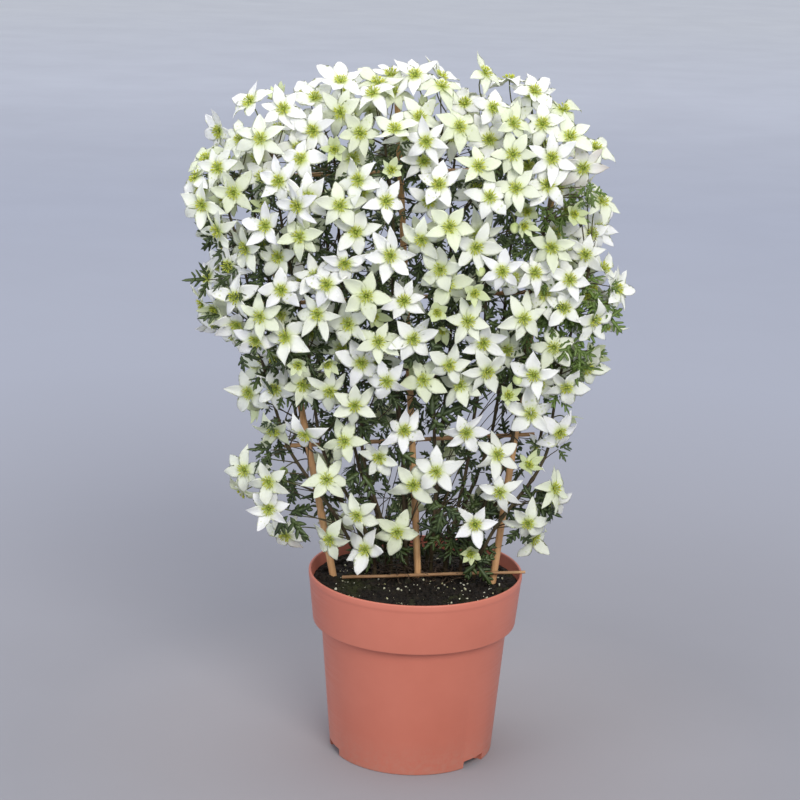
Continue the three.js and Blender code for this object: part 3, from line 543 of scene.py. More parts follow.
notch_tools = [
    upright_post(NOTCH_WIDTH / 2, -5, NOTCH_HEIGHT, 4, FOOT_RING_RADIUS + 6,
                 FIRST_NOTCH + i * 2 * np.pi / NOTCHES, (0.76, math.sqrt(2)))
    for i in range(NOTCHES)
]
drain_tools = [
    upright_post(DRAIN_RADIUS, CHANNEL_HEIGHT - 10, CHANNEL_HEIGHT + 10, 20,
                 (CHANNEL_INNER + CHANNEL_OUTER) / 2 + 0.5,
                 FIRST_NOTCH + (i + 0.5) * 2 * np.pi / DRAINS, (1, 1))
    for i in range(DRAINS)
]
cut_out(pot, notch_tools + drain_tools, crease=40)
print("pot after cutting:", len(pot.data.polygons), "faces")

# %% [markdown]
# ## Soil
# Potting peat is nearly black when moist, crumbly, and dotted with white perlite. The surface is a
# disc of rings whose heights follow broad waves and noise at two sizes, and the crumbs and the
# perlite are small lumpy skins scattered on it, because their shadows make it read as soil.

# %% Soil: shapes
SOIL_HEIGHT = 155
SOIL_MOUND = 1.6
SOIL_RADIUS = 91.2
SOIL_ROUND, SOIL_RINGS = 120, 44
SOIL_FOOT, SOIL_EDGE_DROP = 9.4, 1.5
# radius and height of the soil's side, which follows the inside of the pot
SOIL_SIDE = ((67.9, SOIL_FOOT), (79.8, 116.5), (87.4, 123.5),
             (SOIL_RADIUS - 0.3, SOIL_HEIGHT - SOIL_EDGE_DROP))
CRUMBS, CRUMB_SIZES = 2600, (0.5, 4.6)
PERLITE, PERLITE_SIZES = 420, (0.3, 1.9)


def soil_height(x, y):
    """The height of the soil: broad mounds that fade at the wall, with crumbs on them."""
    flat = np.stack([x, y, np.zeros_like(x)], -1)
    broad = np.sin(x / 13 + 1) * np.cos(y / 11) + 0.5 * np.sin((x - y) / 7)
    fade = np.clip((SOIL_RADIUS - np.hypot(x, y)) / 14, 0.25, 1)
    return (SOIL_HEIGHT + SOIL_MOUND * fade * broad + 1.1 * fade * noise(flat, 5, 1)
            + 0.7 * noise(flat, 2, 2))


LUMP_RINGS, LUMP_SIDES, LUMP_POLE = np.array([-0.6, 0.05, 0.62]), 6, 0.9


def lumps(centres, sizes, seed):
    """Little lumpy stones: three rings of six points, each point's reach varied by chance."""
    count, rise = len(centres), LUMP_RINGS[:, None]
    turn = round_angles(LUMP_SIDES)
    reach = np.sqrt(1 - rise ** 2)
    ball = np.stack([reach * np.cos(turn), reach * np.sin(turn), np.repeat(rise, LUMP_SIDES, 1)], -1)
    chance = np.random.default_rng(seed)
    stretch = chance.uniform(0.6, 1.15, (count, 1, 1, 3))
    rings = ball * stretch * chance.uniform(0.75, 1.15, (count, len(rise), LUMP_SIDES, 1))
    spin = chance.uniform(0, 2 * np.pi, count)[:, None, None]
    x, y, z = rings[..., 0], rings[..., 1], rings[..., 2]
    rings = np.stack([x * np.cos(spin) - y * np.sin(spin), x * np.sin(spin) + y * np.cos(spin), z], -1)
    size = sizes[:, None, None, None]
    low = centres + sizes[:, None] * stretch[:, 0, 0] * [0, 0, -LUMP_POLE]
    high = centres + sizes[:, None] * stretch[:, 0, 0] * [0, 0, LUMP_POLE]
    return skin(centres[:, None, None] + size * rings, low, high)


def scattered(count, sink):
    """Places spread evenly over the soil, that many millimetres below its surface."""
    radius = (SOIL_RADIUS - 4) * np.sqrt(draw.uniform(0, 1, count))
    turn = draw.uniform(0, 2 * np.pi, count)
    x, y = radius * np.cos(turn), radius * np.sin(turn)
    return np.stack([x, y, soil_height(x, y) - sink], -1)


side_profile = np.array(SOIL_SIDE)
turn = round_angles(SOIL_ROUND)
side = np.stack([side_profile[:, :1] * np.cos(turn), side_profile[:, :1] * np.sin(turn),
                 np.repeat(side_profile[:, 1:], SOIL_ROUND, 1)], -1)
reach = np.linspace(SOIL_RADIUS, 1.5, SOIL_RINGS)[:, None]
top_x, top_y = reach * np.cos(turn), reach * np.sin(turn)
top = np.stack([top_x, top_y, soil_height(top_x, top_y)], -1)
soil_foot, soil_middle = np.array([[0, 0, SOIL_FOOT]]), np.array([[0, 0, SOIL_HEIGHT + 1.0]])
soil_shape = skin(np.concatenate([side, top])[None], soil_foot, soil_middle)
crumb_sizes = draw.gamma(1.8, 0.8, CRUMBS).clip(*CRUMB_SIZES)
crumb_shape = lumps(scattered(CRUMBS, 0.1), crumb_sizes, 11)
perlite_sizes = draw.gamma(1.6, 0.38, PERLITE).clip(*PERLITE_SIZES)
perlite_shape = lumps(scattered(PERLITE, -0.7), perlite_sizes, 12)
print("soil:", len(soil_shape[0]), "points,", CRUMBS, "crumbs,", PERLITE, "perlite grains")

# %% [markdown]
# Moist peat takes up light, so it is nearly black with a matt skin and a deep relief, and mossy
# green here and there. Perlite is puffed glass: chalk white, pitted, and yellowed by the water.

# %% Soil: finishes
peat, tree, shader = new_finish("moist_peat", Specular_IOR_Level=0.3)
spot = object_place(tree)
dark = placed(tree, mottle, Vector=spot, Scale=330.0, Light=srgb(46, 38, 30), Dark=srgb(11, 10, 9))
mossy = between(tree, placed(tree, mottle, Vector=spot, Scale=26.0)["Mask"], 0.55, 0.95, 0.0, 0.6)
soil_colour = mixed(tree, mossy, dark["Colour"], srgb(58, 64, 28))
damp = between(tree, placed(tree, mottle, Vector=spot, Scale=60.0)["Mask"], 0, 1, 0.6, 0.95)
crumbly = placed(tree, relief, Vector=spot, Scale=900.0, Coarse=300.0)["Height"]
finish_with(tree, shader, soil_colour, damp, crumbly, 0.0012)

perlite, tree, shader = new_finish("perlite", Specular_IOR_Level=0.3)
spot = object_place(tree)
pale = placed(tree, mottle, Vector=spot, Scale=150.0, Light=srgb(238, 237, 222),
              Dark=srgb(172, 168, 116))
chalky = between(tree, pale["Mask"], 0, 1, 0.7, 0.95)
pitted = placed(tree, relief, Vector=spot, Scale=2500.0, Coarse=900.0)["Height"]
finish_with(tree, shader, pale["Colour"], chalky, pitted, 0.0003)

add_piece("peat_surface", soil_shape, peat, replaces=["soil"])
add_piece("peat_crumbs", crumb_shape, peat)
add_piece("perlite_grains", perlite_shape, perlite)

# %% [markdown]
# ## Canes and crossbars
# A bamboo cane is a tube with a swollen ring at every joint, a groove above it, and long fibres
# that show as fine streaks. The crossbars are split from thicker canes, so one side is flat and
# rough. Both are rings carried along a straight line, with the radius written as a function of
# the way along it.

# %% Canes: shapes
CANE_FOOT = 60
CANE_TAPER = 0.8
CANES = {
    "left": dict(x=-53.6, lean=-0.2, length=492, radius=3.3, first=158, step=128),
    "centre": dict(x=9.4, lean=-0.07, length=520, radius=3.2, first=159, step=116),
    "right": dict(x=58.9, lean=0.107, length=480, radius=3.3, first=176, step=116),
}
BARS = {
    "lower": dict(low=(-118, 275), high=(101, 292)),
    "middle": dict(low=(-138, 402), high=(116, 421)),
    "upper": dict(low=(-154, 512), high=(118, 528)),
}
SOIL_BAR = dict(low=(-65, 158.4), high=(97.5, 168.2))
SOIL_BAR_Y = -6.5
BAR_RADIUS, SOIL_BAR_RADIUS, CLEARANCE = 1.9, 1.5, 0.3
SPLIT_FACE = -0.72
# the swelling at a joint, the groove above it and the scar below: depth, height over it, width
JOINT_RINGS = ((0.62, 0, 1.5), (-0.3, 3.4, 1.6), (0.25, -4, 3))
# how far the cut end's inner rings reach in, as a share of the last one, and their heights
HOLLOW_REACH, HOLLOW_HEIGHTS = np.array([[0.93], [0.55], [0.5]]), np.array([0.4, 0.1, -4])


def cane_shape(cane, stations=190, sides=20):
    """A cane: the radius tapers, swells at each joint, dips just above it and wavers a little, and
    the ring runs back down inside the cut end to leave a hollow."""
    along = np.linspace(0, cane["length"], stations)
    radius = cane["radius"] * (1 + (CANE_TAPER - 1) * along / cane["length"])
    for joint in np.arange(cane["first"], cane["length"] - 20, cane["step"]):
        for depth, over, width in JOINT_RINGS:
            radius += depth * np.exp(-((along - joint - over) / width) ** 2)
    turn = round_angles(sides)
    wobble = noise(np.stack([along / 30, np.full(stations, cane["x"]), 0 * along], -1), 1, 4)
    reach = (radius * (1 + 0.02 * wobble))[:, None] * (1 + 0.02 * np.cos(2 * turn + 1))
    reach = np.concatenate([reach, reach[-1] * HOLLOW_REACH])
    along = np.concatenate([along, cane["length"] + HOLLOW_HEIGHTS])
    upright = unit(np.array([cane["lean"], 0, 1.0]))
    across = np.array([upright[2], 0, -upright[0]])
    foot = np.array([cane["x"], 0, CANE_FOOT])
    rings = (foot + along[:, None, None] * upright + (reach * np.cos(turn))[..., None] * across
             + (reach * np.sin(turn))[..., None] * np.array([0, 1, 0]))
    return skin(rings[None], foot[None], (foot + along[-1] * upright)[None])


def cane_radius(cane, height):
    """The cane's radius at that height, without its joints."""
    return cane["radius"] * (1 + (CANE_TAPER - 1) * (height - CANE_FOOT) / cane["length"])


def cane_x(cane, height):
    """Where the cane's middle line stands at that height."""
    return cane["x"] + cane["lean"] * (height - CANE_FOOT)


def bar_y(bar):
    """The bars lie against the back of the thickest cane at their height."""
    return max(cane_radius(cane, bar["low"][1]) for cane in CANES.values()) + CLEARANCE + BAR_RADIUS


def bar_shape(bar, y, radius, stations=80, sides=12):
    """A split cane: a ring whose back quarter is cut flat, along a line that wavers a little."""
    start = np.array([bar["low"][0], y, bar["low"][1]], float)
    end = np.array([bar["high"][0], y, bar["high"][1]], float)
    t = np.linspace(0, 1, stations)[:, None]
    line = start + t * (end - start)
    along = unit(end - start)
    upward = np.array([-along[2], 0, along[0]])
    waver = noise(np.concatenate([line[:, :1] / 14, line[:, 1:] / 100], 1), 1, int(y * 10))
    line = line + 0.25 * waver[:, None] * upward
    turn = round_angles(sides)
    out = np.maximum(np.sin(turn), SPLIT_FACE)
    size = radius * (1 - 0.06 * t + 0.05 * waver[:, None])
    rings = (line[:, None] + (size * np.cos(turn))[..., None] * upward
             + (size * out)[..., None] * np.array([0, -1, 0]))
    return skin(rings[None], start[None], end[None])


print("crossbars lie behind the canes by", {name: round(bar_y(bar), 2) for name, bar in BARS.items()})

# %% [markdown]
# Bamboo keeps its fibres under a hard satin skin. Streaks that run along the cane mix two tans,
# and the same streaks give the relief and the gloss, because a fibre that stands up catches light.
# A crossbar lies on its side, so its streaks are turned by a right angle.

# %% Canes: finishes
def cane_finish(name, light, dark, joint_colour, lying=False):
    """Bamboo: streaks along the cane between two tans, browner blotches and a satin skin."""
    made, tree, shader = new_finish(name, Specular_IOR_Level=0.4)
    spot = object_place(tree)
    quarter_turn = (0, math.radians(90) if lying else 0, 0)
    upended = node(tree, "Mapping", dict(Vector=spot, Rotation=quarter_turn))
    fibres = placed(tree, streaks, Vector=upended.outputs["Vector"])["Mask"]
    blotch = placed(tree, mottle, Vector=spot, Scale=38.0)["Mask"]
    skin_colour = mixed(tree, fibres, light, dark)
    aged = reckoned(tree, "MULTIPLY", blotch, 0.45)
    colour = mixed(tree, aged, skin_colour, joint_colour)
    finish_with(tree, shader, colour, between(tree, fibres, 0, 1, 0.42, 0.62), fibres, 0.00025)
    return made


bamboo = cane_finish("bamboo", srgb(236, 194, 142), srgb(213, 162, 111), srgb(176, 121, 82))
split_cane = cane_finish("split_cane", srgb(212, 170, 124), srgb(158, 116, 79), srgb(110, 76, 54),
                         lying=True)

for side_name, cane in CANES.items():
    add_piece(f"bamboo_cane_{side_name}", cane_shape(cane), bamboo,
              replaces=[f"cane_{side_name}"], crease=50)
for bar_name, bar in BARS.items():
    add_piece(f"split_crossbar_{bar_name}", bar_shape(bar, bar_y(bar), BAR_RADIUS), split_cane,
              replaces=[f"crossbar_{bar_name}"], crease=50)
add_piece("split_crossbar_soil", bar_shape(SOIL_BAR, SOIL_BAR_Y, SOIL_BAR_RADIUS), split_cane,
          replaces=["crossbar_soil"], crease=50)

# %% [markdown]
# Each crossing is held by one turn of soft green-grey wire, drawn round cane and bar and twisted
# off behind. The loop is an ellipse set across the corner, and the tail is two thin tubes that
# wind round each other.

# %% Wire ties
TIE_RADIUS, TIE_SLACK, TIE_HALF_WIDTH = 0.5, 0.6, 8.8
TAIL_STEPS, TAIL_RADIUS, TAIL_WINDING, TAIL_WAY = 24, 0.36, 0.42, np.array([0.6, 3.2, -4.4])


def tie_shape(cane, bar, lean, steps=40, sides=8):
    """A loop on an ellipse from the cane's front to the bar's back, with a twisted tail."""
    level = (bar["low"][1] + bar["high"][1]) / 2
    t = (cane_x(cane, level) - bar["low"][0]) / (bar["high"][0] - bar["low"][0])
    height = bar["low"][1] + t * (bar["high"][1] - bar["low"][1])
    front = -(cane_radius(cane, height) + TIE_RADIUS / 2 + TIE_SLACK)
    back = bar_y(bar) + BAR_RADIUS + TIE_RADIUS / 2 + TIE_SLACK
    middle = np.array([cane_x(cane, height), (front + back) / 2, height])
    across = np.array([1, 0, lean]) / math.sqrt(2)
    turn = round_angles(steps)[:, None]
    deep = np.array([0, 1, 0]) * (back - front) / 2
    loop = middle + TIE_HALF_WIDTH * np.cos(turn) * across + np.sin(turn) * deep
    outward = unit(loop - middle)
    square = unit(np.cross(across, [0, 1, 0]))
    ring = round_angles(sides)
    circle = np.cos(ring)[:, None] * outward[:, None] + np.sin(ring)[:, None] * square
    rings = loop[:, None] + TIE_RADIUS * circle
    wind = np.linspace(0, 4 * np.pi, TAIL_STEPS)
    root = middle + deep + [0, TIE_RADIUS, 0]
    tails = []
    for start in (0, np.pi):
        winding = TAIL_WINDING * np.stack([np.cos(wind + start), 0 * wind, np.sin(wind + start)], -1)
        tails.append(root + winding + np.linspace(0, 1, TAIL_STEPS)[:, None] * TAIL_WAY)
    tail = tubes(np.array(tails), np.full((2, TAIL_STEPS), TAIL_RADIUS), 6)
    return joined(hoop_skin(rings), tail)


wire, tree, shader = new_finish("coated_wire", Specular_IOR_Level=0.5)
spot = object_place(tree)
worn = placed(tree, mottle, Vector=spot, Scale=240.0, Light=srgb(92, 98, 84), Dark=srgb(58, 62, 52))
finish_with(tree, shader, worn["Colour"], between(tree, worn["Mask"], 0, 1, 0.35, 0.6),
            placed(tree, relief, Vector=spot, Scale=2500.0, Coarse=600.0)["Height"], 0.0001)

crossings = [(cane_name, bar_name, 1 if (i + j) % 2 else -1)
             for i, bar_name in enumerate(BARS) for j, cane_name in enumerate(CANES)]
tie_shapes = [tie_shape(CANES[cane_name], BARS[bar_name], lean)
              for cane_name, bar_name, lean in crossings]
add_piece("wire_ties", joined(*tie_shapes), wire,
          replaces=[f"tie_{cane_name}_{bar_name}" for cane_name, bar_name, _ in crossings])

# %% [markdown]
# ## Where everything grows
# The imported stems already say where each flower, bud and leaf is: each is a fan of triangles round
# a raised middle. A star with alternating long and short points is a flower, a ring of five points
# 4 mm out is a bud, and an outline of fourteen points that is the same on both sides is a leaf.
# Reading them back keeps every bloom exactly where the solid has it, with its size, its turn and
# how far it is open.

# %% Reading the fans
EYE_HEIGHT, PETAL_VALLEY, VALLEY_LIFT = 1.5, 0.46, 0.6
BUD_RADIUS, BUD_LENGTH, LEAF_THICKNESS, LEAF_DROOP, LEAF_HEEL = 4, 6.5, 0.8, 0.35, 0.1
TOLERANCE = 0.08


def fans(stem_name):
    """The fans in a stem's solid, as (middle, ring in order, direction the fan faces)."""
    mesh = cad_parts[stem_name].data
    mesh.calc_loop_triangles()
    spots = np.empty(3 * len(mesh.vertices))
    mesh.vertices.foreach_get("co", spots)
    faces = np.empty(3 * len(mesh.loop_triangles), np.int32)
    mesh.loop_triangles.foreach_get("vertices", faces)
    spots, same = np.unique(np.round(spots.reshape(-1, 3) / MM, 2), axis=0, return_inverse=True)
    faces = same.ravel()[faces].reshape(-1, 3)
    meeting = np.bincount(faces.ravel())
    for apex in np.flatnonzero(np.isin(meeting, (5, 10, 12, 14))):
        around = faces[(faces == apex).any(axis=1)]
        ring = np.setdiff1d(around, apex)
        if len(ring) != meeting[apex]:
            continue
        a, b, c = (spots[around[:, corner]] for corner in range(3))
        facing = unit(np.cross(b - a, c - a).sum(axis=0))
        out = spots[ring] - spots[ring].mean(axis=0)
        first = unit(out[0] - facing * (out[0] @ facing))
        angle = np.arctan2(out @ np.cross(facing, first), out @ first)
        yield spots[apex], spots[ring[np.argsort(angle)]], facing


def read_bloom(apex, ring, facing):
    """A flower: the tips lie on one circle and the notches on another. The two circles' heights
    give how far the petals are lifted."""
    if len(ring) < 10:
        return None
    tips, notches = ring[0::2], ring[1::2]
    reaches = [np.linalg.norm(points - points.mean(axis=0), axis=1) for points in (tips, notches)]
    if reaches[0].mean() < reaches[1].mean():
        tips, notches, reaches = notches, tips, reaches[::-1]
    if max(np.ptp(reaches[0]), np.ptp(reaches[1])) > TOLERANCE:
        return None
    rise = (tips.mean(axis=0) - notches.mean(axis=0)) @ facing
    lift = rise / (1 - PETAL_VALLEY * VALLEY_LIFT)
    reach = reaches[0].mean()
    centre = tips.mean(axis=0) - lift * facing
    if abs((apex - centre) @ facing - EYE_HEIGHT) > TOLERANCE:
        return None
    spoke = unit(tips[0] - tips.mean(axis=0))
    return dict(centre=centre, facing=facing, spoke=spoke, reach=reach, lift=lift, petals=len(tips))


def read_bud(apex, ring, facing):
    """A bud: five points on a circle of the bud's radius, with the tip a bud's length ahead."""
    centre = ring.mean(axis=0)
    reach = np.linalg.norm(ring - centre, axis=1)
    if len(ring) != 5 or np.abs(reach - BUD_RADIUS).max() > TOLERANCE:
        return None
    if abs((apex - centre) @ facing - BUD_LENGTH) > TOLERANCE:
        return None
    return dict(centre=centre, facing=facing, spoke=unit(ring[0] - centre))


def read_leaf(apex, ring, facing):
    """A leaf: its outline is the same on both sides of the line from the tip to the heel. That
    line's length gives the size, and the droop along it gives the leaf's own plane."""
    if len(ring) != 14:
        return None
    far = np.linalg.norm(ring - apex, axis=1)
    ring, far = np.roll(ring, -far.argmax(), axis=0), np.roll(far, -far.argmax())
    if np.abs(far[1:] - far[:0:-1]).max() > TOLERANCE:
        return None
    tip, heel = ring[0], ring[7]
    run, drop = 1 + LEAF_HEEL, LEAF_DROOP * (1 - LEAF_HEEL ** 2)
    slant = math.hypot(run, drop)
    size = np.linalg.norm(tip - heel) / slant
    line = unit(tip - heel)
    side = unit(ring[1] - ring[-1])
    below = np.cross(side, line)
    along = (run * line - drop * below) / slant
    up_leaf = (-drop * line - run * below) / slant
    if up_leaf @ facing < 0:
        return None
    centre = apex - LEAF_THICKNESS * up_leaf
    return dict(centre=centre, facing=up_leaf, spoke=along, size=size)


READERS = {"bloom": read_bloom, "bud": read_bud, "leaf": read_leaf}
STEM_NAMES = sorted(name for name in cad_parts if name.startswith("flowering_stem"))
found = {kind: [] for kind in READERS}
for stem_name in STEM_NAMES:
    for fan in fans(stem_name):
        for kind, reader in READERS.items():
            seen = reader(*fan)
            if seen:
                found[kind].append(dict(seen, stem=stem_name))
                break
print({kind: len(rows) for kind, rows in found.items()})


def column(rows, key):
    """One entry of every row, as an array."""
    return np.array([row[key] for row in rows], float)


# %% [markdown]
# ## Stems
# The climbing stems spread like the rays of a fan that meet below the pot, a row in front of the
# canes and a row behind. Each is a smooth path by the rule that laid out the solids. Clematis wood
# is thin, dark and ridged, with a swelling at each pair of leaves, and the shoots that cross from
# stem to stem are thinner still.

# %% Stem paths
FAN_X, FAN_Z = 20, -300
FRONT_FEET = [-50, -36, -22, -9, 14, 26, 40, 53]
FRONT_SLOPES = [-0.235, -0.178, -0.12, -0.064, -0.01, 0.045, 0.1, 0.155]
BACK_FEET = [-44, -26, -8, 10, 28, 46]
BACK_SLOPES = [-0.215, -0.14, -0.065, 0.005, 0.075, 0.145]
STEM_FOOT, STEM_RADIUS, LOWEST_STALK = 134, 1.5, 182
SPREAD_FROM, SPREAD_OVER = 158, 130
WAVE_REACH, WAVE_LENGTH = 2.2, 31
# the depth at the soil, and the steps from it: how far, from which height, over how much height
FRONT_DEPTH, FRONT_STEPS = 10, ((-22, 163, 32), (-20, 300, 110))
BACK_DEPTH, BACK_STEPS = 24, ((-6, 163, 60), (14, 310, 110))
LEAF_JOINTS, JOINT_SWELLING = 43, 0.45


def smooth(value):
    """A step from 0 to 1 with soft ends."""
    value = np.clip(value, 0, 1)
    return value * value * (3 - 2 * value)


def stem_points(stem, height):
    """The stem's line: from its foot it swings over to its ray of the fan with a slow wave, and
    the front row steps forward of the canes while the back row stays behind the bars."""
    height = np.asarray(height, float)
    ray = FAN_X + stem["slope"] * (height - FAN_Z)
    spread = smooth((height - SPREAD_FROM) / SPREAD_OVER)
    wave = WAVE_REACH * spread * np.sin(height / WAVE_LENGTH + stem["phase"])
    x = stem["foot"] * (1 - spread) + ray * spread + wave
    y, steps = (FRONT_DEPTH, FRONT_STEPS) if stem["is_front"] else (BACK_DEPTH, BACK_STEPS)
    for step, begin, over in steps:
        y = y + step * smooth((height - begin) / over)
    return np.stack([x, y, height], -1)


def stem_top(stem, stem_name):
    """The height of the highest point of the solid that lies on the stem's own line."""
    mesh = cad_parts[stem_name].data
    spots = np.empty(3 * len(mesh.vertices))
    mesh.vertices.foreach_get("co", spots)
    spots = spots.reshape(-1, 3) / MM
    off = np.linalg.norm(spots - stem_points(stem, spots[:, 2]), axis=1)
    return spots[off < 1.3, 2].max()


stems = {}
for row, feet, slopes in (("front", FRONT_FEET, FRONT_SLOPES), ("back", BACK_FEET, BACK_SLOPES)):
    for order, (foot, slope) in enumerate(zip(feet, slopes)):
        phase = (order if row == "front" else order + 9) * 1.7
        stem = dict(foot=foot, slope=slope, phase=phase, is_front=row == "front")
        stem["top"] = stem_top(stem, f"flowering_stem_{row}_{order + 1}")
        stems[f"flowering_stem_{row}_{order + 1}"] = stem
print("stem tops:", [round(float(stem["top"])) for stem in stems.values()])


def stalk_roots(rows, rise):
    """Where the stalks of these flowers, buds or leaves leave their stems: level with them, or
    lower by `rise` times how far out they are."""
    roots = []
    for one in rows:
        stem, centre = stems[one["stem"]], one["centre"]
        beside = stem_points(stem, min(centre[2], stem["top"]))
        away = math.hypot(*(centre - beside)[:2])
        roots.append(stem_points(stem, np.clip(centre[2] - rise * away, LOWEST_STALK, stem["top"] - 3)))
    return np.array(roots)


# %% Stem shapes
def stem_shape(stem, stations=90, sides=7):
    """A stem: its radius tapers, with a swelling at each joint where leaves part from it."""
    height = np.linspace(STEM_FOOT, stem["top"] + 4, stations)
    line = stem_points(stem, height)
    line[:, 0] += 0.5 * noise(line, 18, 5)
    line[:, 1] += 0.5 * noise(line, 18, 6)
    radius = STEM_RADIUS * np.interp(height, [STEM_FOOT, stem["top"]], [1.15, 0.7])
    swelling = np.exp(-(((height + 20 * stem["phase"]) % LEAF_JOINTS - 21) / 2.2) ** 2)
    return tubes(line[None], (radius * (1 + JOINT_SWELLING * swelling))[None], sides)


SHOOTS, SHOOT_STATIONS, SHOOT_RISE, LONGEST_SHOOT = 190, 22, (25, 90), 60
LOW_SHARE, LOW_SHOOTS, HIGH_SHOOTS = 0.55, (168, 330), (330, 470)
TWIGS, TWIG_STATIONS, TWIG_HALF, TWIG_THICK = 150, 9, (5, 19), (0.35, 0.85)
HEAP_LOW, HEAP_HIGH = np.array([-62, -8]), np.array([62, 48])
HEAP_MIDDLE, HEAP_SPREAD = (6, 14), (27, 11)


def wiry_shoots(count):
    """Thin shoots between neighbouring stems: they leave one, arch out and end on another."""
    names = list(stems)
    starts, ends, pulls = [], [], []
    for _ in range(count):
        first = int(draw.integers(len(names) - 1))
        low = draw.uniform(*(LOW_SHOOTS if draw.uniform() < LOW_SHARE else HIGH_SHOOTS))
        high = low + draw.uniform(*SHOOT_RISE)
        start, end = stem_points(stems[names[first]], low), stem_points(stems[names[first + 1]], high)
        if abs(start[0] - end[0]) > LONGEST_SHOOT:
            continue
        starts.append(start)
        ends.append(end)
        pulls.append([draw.uniform(-16, 16), draw.uniform(-14, 14), draw.uniform(4, 30)])
    starts, ends, pulls = np.array(starts), np.array(ends), np.array(pulls)
    paths = bend(starts, pulls, -pulls * [0.4, -1, 1.2], ends, SHOOT_STATIONS)
    paths += 0.8 * np.stack([noise(paths, 9, seed) for seed in (21, 22, 23)], -1)
    radii = np.linspace(0.58, 0.36, SHOOT_STATIONS) * draw.uniform(0.75, 1.25, (len(paths), 1))
    return tubes(paths, radii, 5)


def fallen_twigs(count):
    """Dry stalks and leaf ribs that lie in a heap on the soil behind the canes."""
    middle = [draw.normal(*place, count) for place in zip(HEAP_MIDDLE, HEAP_SPREAD)]
    middle = np.clip(np.stack(middle, -1), HEAP_LOW, HEAP_HIGH)
    turn = draw.uniform(0, 2 * np.pi, count)
    half = draw.uniform(*TWIG_HALF, count)[:, None]
    level = soil_height(middle[:, 0], middle[:, 1]) + draw.gamma(1.6, 2.6, count).clip(0.6, 13)
    along = np.stack([np.cos(turn), np.sin(turn), draw.normal(0, 0.3, count)], -1)
    centre = np.column_stack([middle, level])
    starts, ends = centre - half * along, centre + half * along
    pulls = draw.normal(0, 1, (count, 3)) * half * [0.5, 0.5, 0.25] + half * along * 0.6
    back_pulls = draw.normal(0, 0.3, (count, 3)) * half - half * along * 0.6
    paths = bend(starts, pulls, back_pulls, ends, TWIG_STATIONS)
    paths[..., 2] = np.maximum(paths[..., 2], soil_height(paths[..., 0], paths[..., 1]) + 0.2)
    radii = np.linspace(1, 0.6, TWIG_STATIONS) * draw.uniform(*TWIG_THICK, (count, 1))
    return tubes(paths, radii, 4)


main_stems = joined(*[stem_shape(stem) for stem in stems.values()])
shoots = wiry_shoots(SHOOTS)
twigs = fallen_twigs(TWIGS)
print("points of stems, shoots, twigs:", [len(shape[0]) for shape in (main_stems, shoots, twigs)])

# %% [markdown]
# Old clematis wood is dark and stringy: streaks between two browns that run up the stem, with
# greener blotches where it is still young. The dry twigs use the same rule with greyer colours.

# %% Stem finishes
def wood_finish(name, light, dark, bloom_colour):
    """Thin wood: dark streaks along the stem, and greener or greyer blotches."""
    made, tree, shader = new_finish(name, Specular_IOR_Level=0.35)
    spot = object_place(tree)
    ridges = placed(tree, streaks, Vector=spot, Across=1400.0, Along=60.0)["Mask"]
    bark = mixed(tree, ridges, light, dark)
    patch = placed(tree, mottle, Vector=spot, Scale=45.0)["Mask"]
    share = reckoned(tree, "MULTIPLY", patch, 0.5)
    finish_with(tree, shader, mixed(tree, share, bark, bloom_colour),
                between(tree, ridges, 0, 1, 0.5, 0.75), ridges, 0.0003)
    return made


stem_wood = wood_finish("climbing_wood", srgb(96, 76, 54), srgb(52, 40, 32), srgb(84, 88, 54))
dry_wood = wood_finish("dry_twigs", srgb(104, 84, 66), srgb(48, 38, 32), srgb(30, 27, 26))
FRONT_STEMS = [name for name in STEM_NAMES if "_front_" in name]
BACK_STEMS = [name for name in STEM_NAMES if "_back_" in name]
add_piece("climbing_stems", main_stems, stem_wood, replaces=STEM_NAMES)
add_piece("wiry_shoots", shoots, stem_wood)
add_piece("fallen_twigs", twigs, dry_wood)

# %% [markdown]
# ## Flowers
# What look like petals are sepals: five to seven long leaves of white, narrow where they start,
# widest just before halfway and pointed at the end, with a fold along the middle and a waved
# edge. Each is one thin closed skin. Its rings are flattened circles, and their half width follows
# a power of the way along times a power of the way left, which draws the outline. Chance gives
# each its own width, point, roll, twist, wave and bend, so that no two flowers are the same.

# %% Petal shape
PETAL_STATIONS = np.array([0.05, 0.18, 0.34, 0.5, 0.66, 0.81, 0.93])
PETAL_SIDES = 8
PETAL_THICKNESS = 0.3
PETAL_START = 0.8
BASE_NARROWING = 0.72


def oval(along, base, tip):
    """1 at the widest place, 0 at both ends: along^base times (1 - along)^tip, over its peak."""
    widest = base / (base + tip)
    return along ** base * (1 - along) ** tip / (widest ** base * (1 - widest) ** tip)


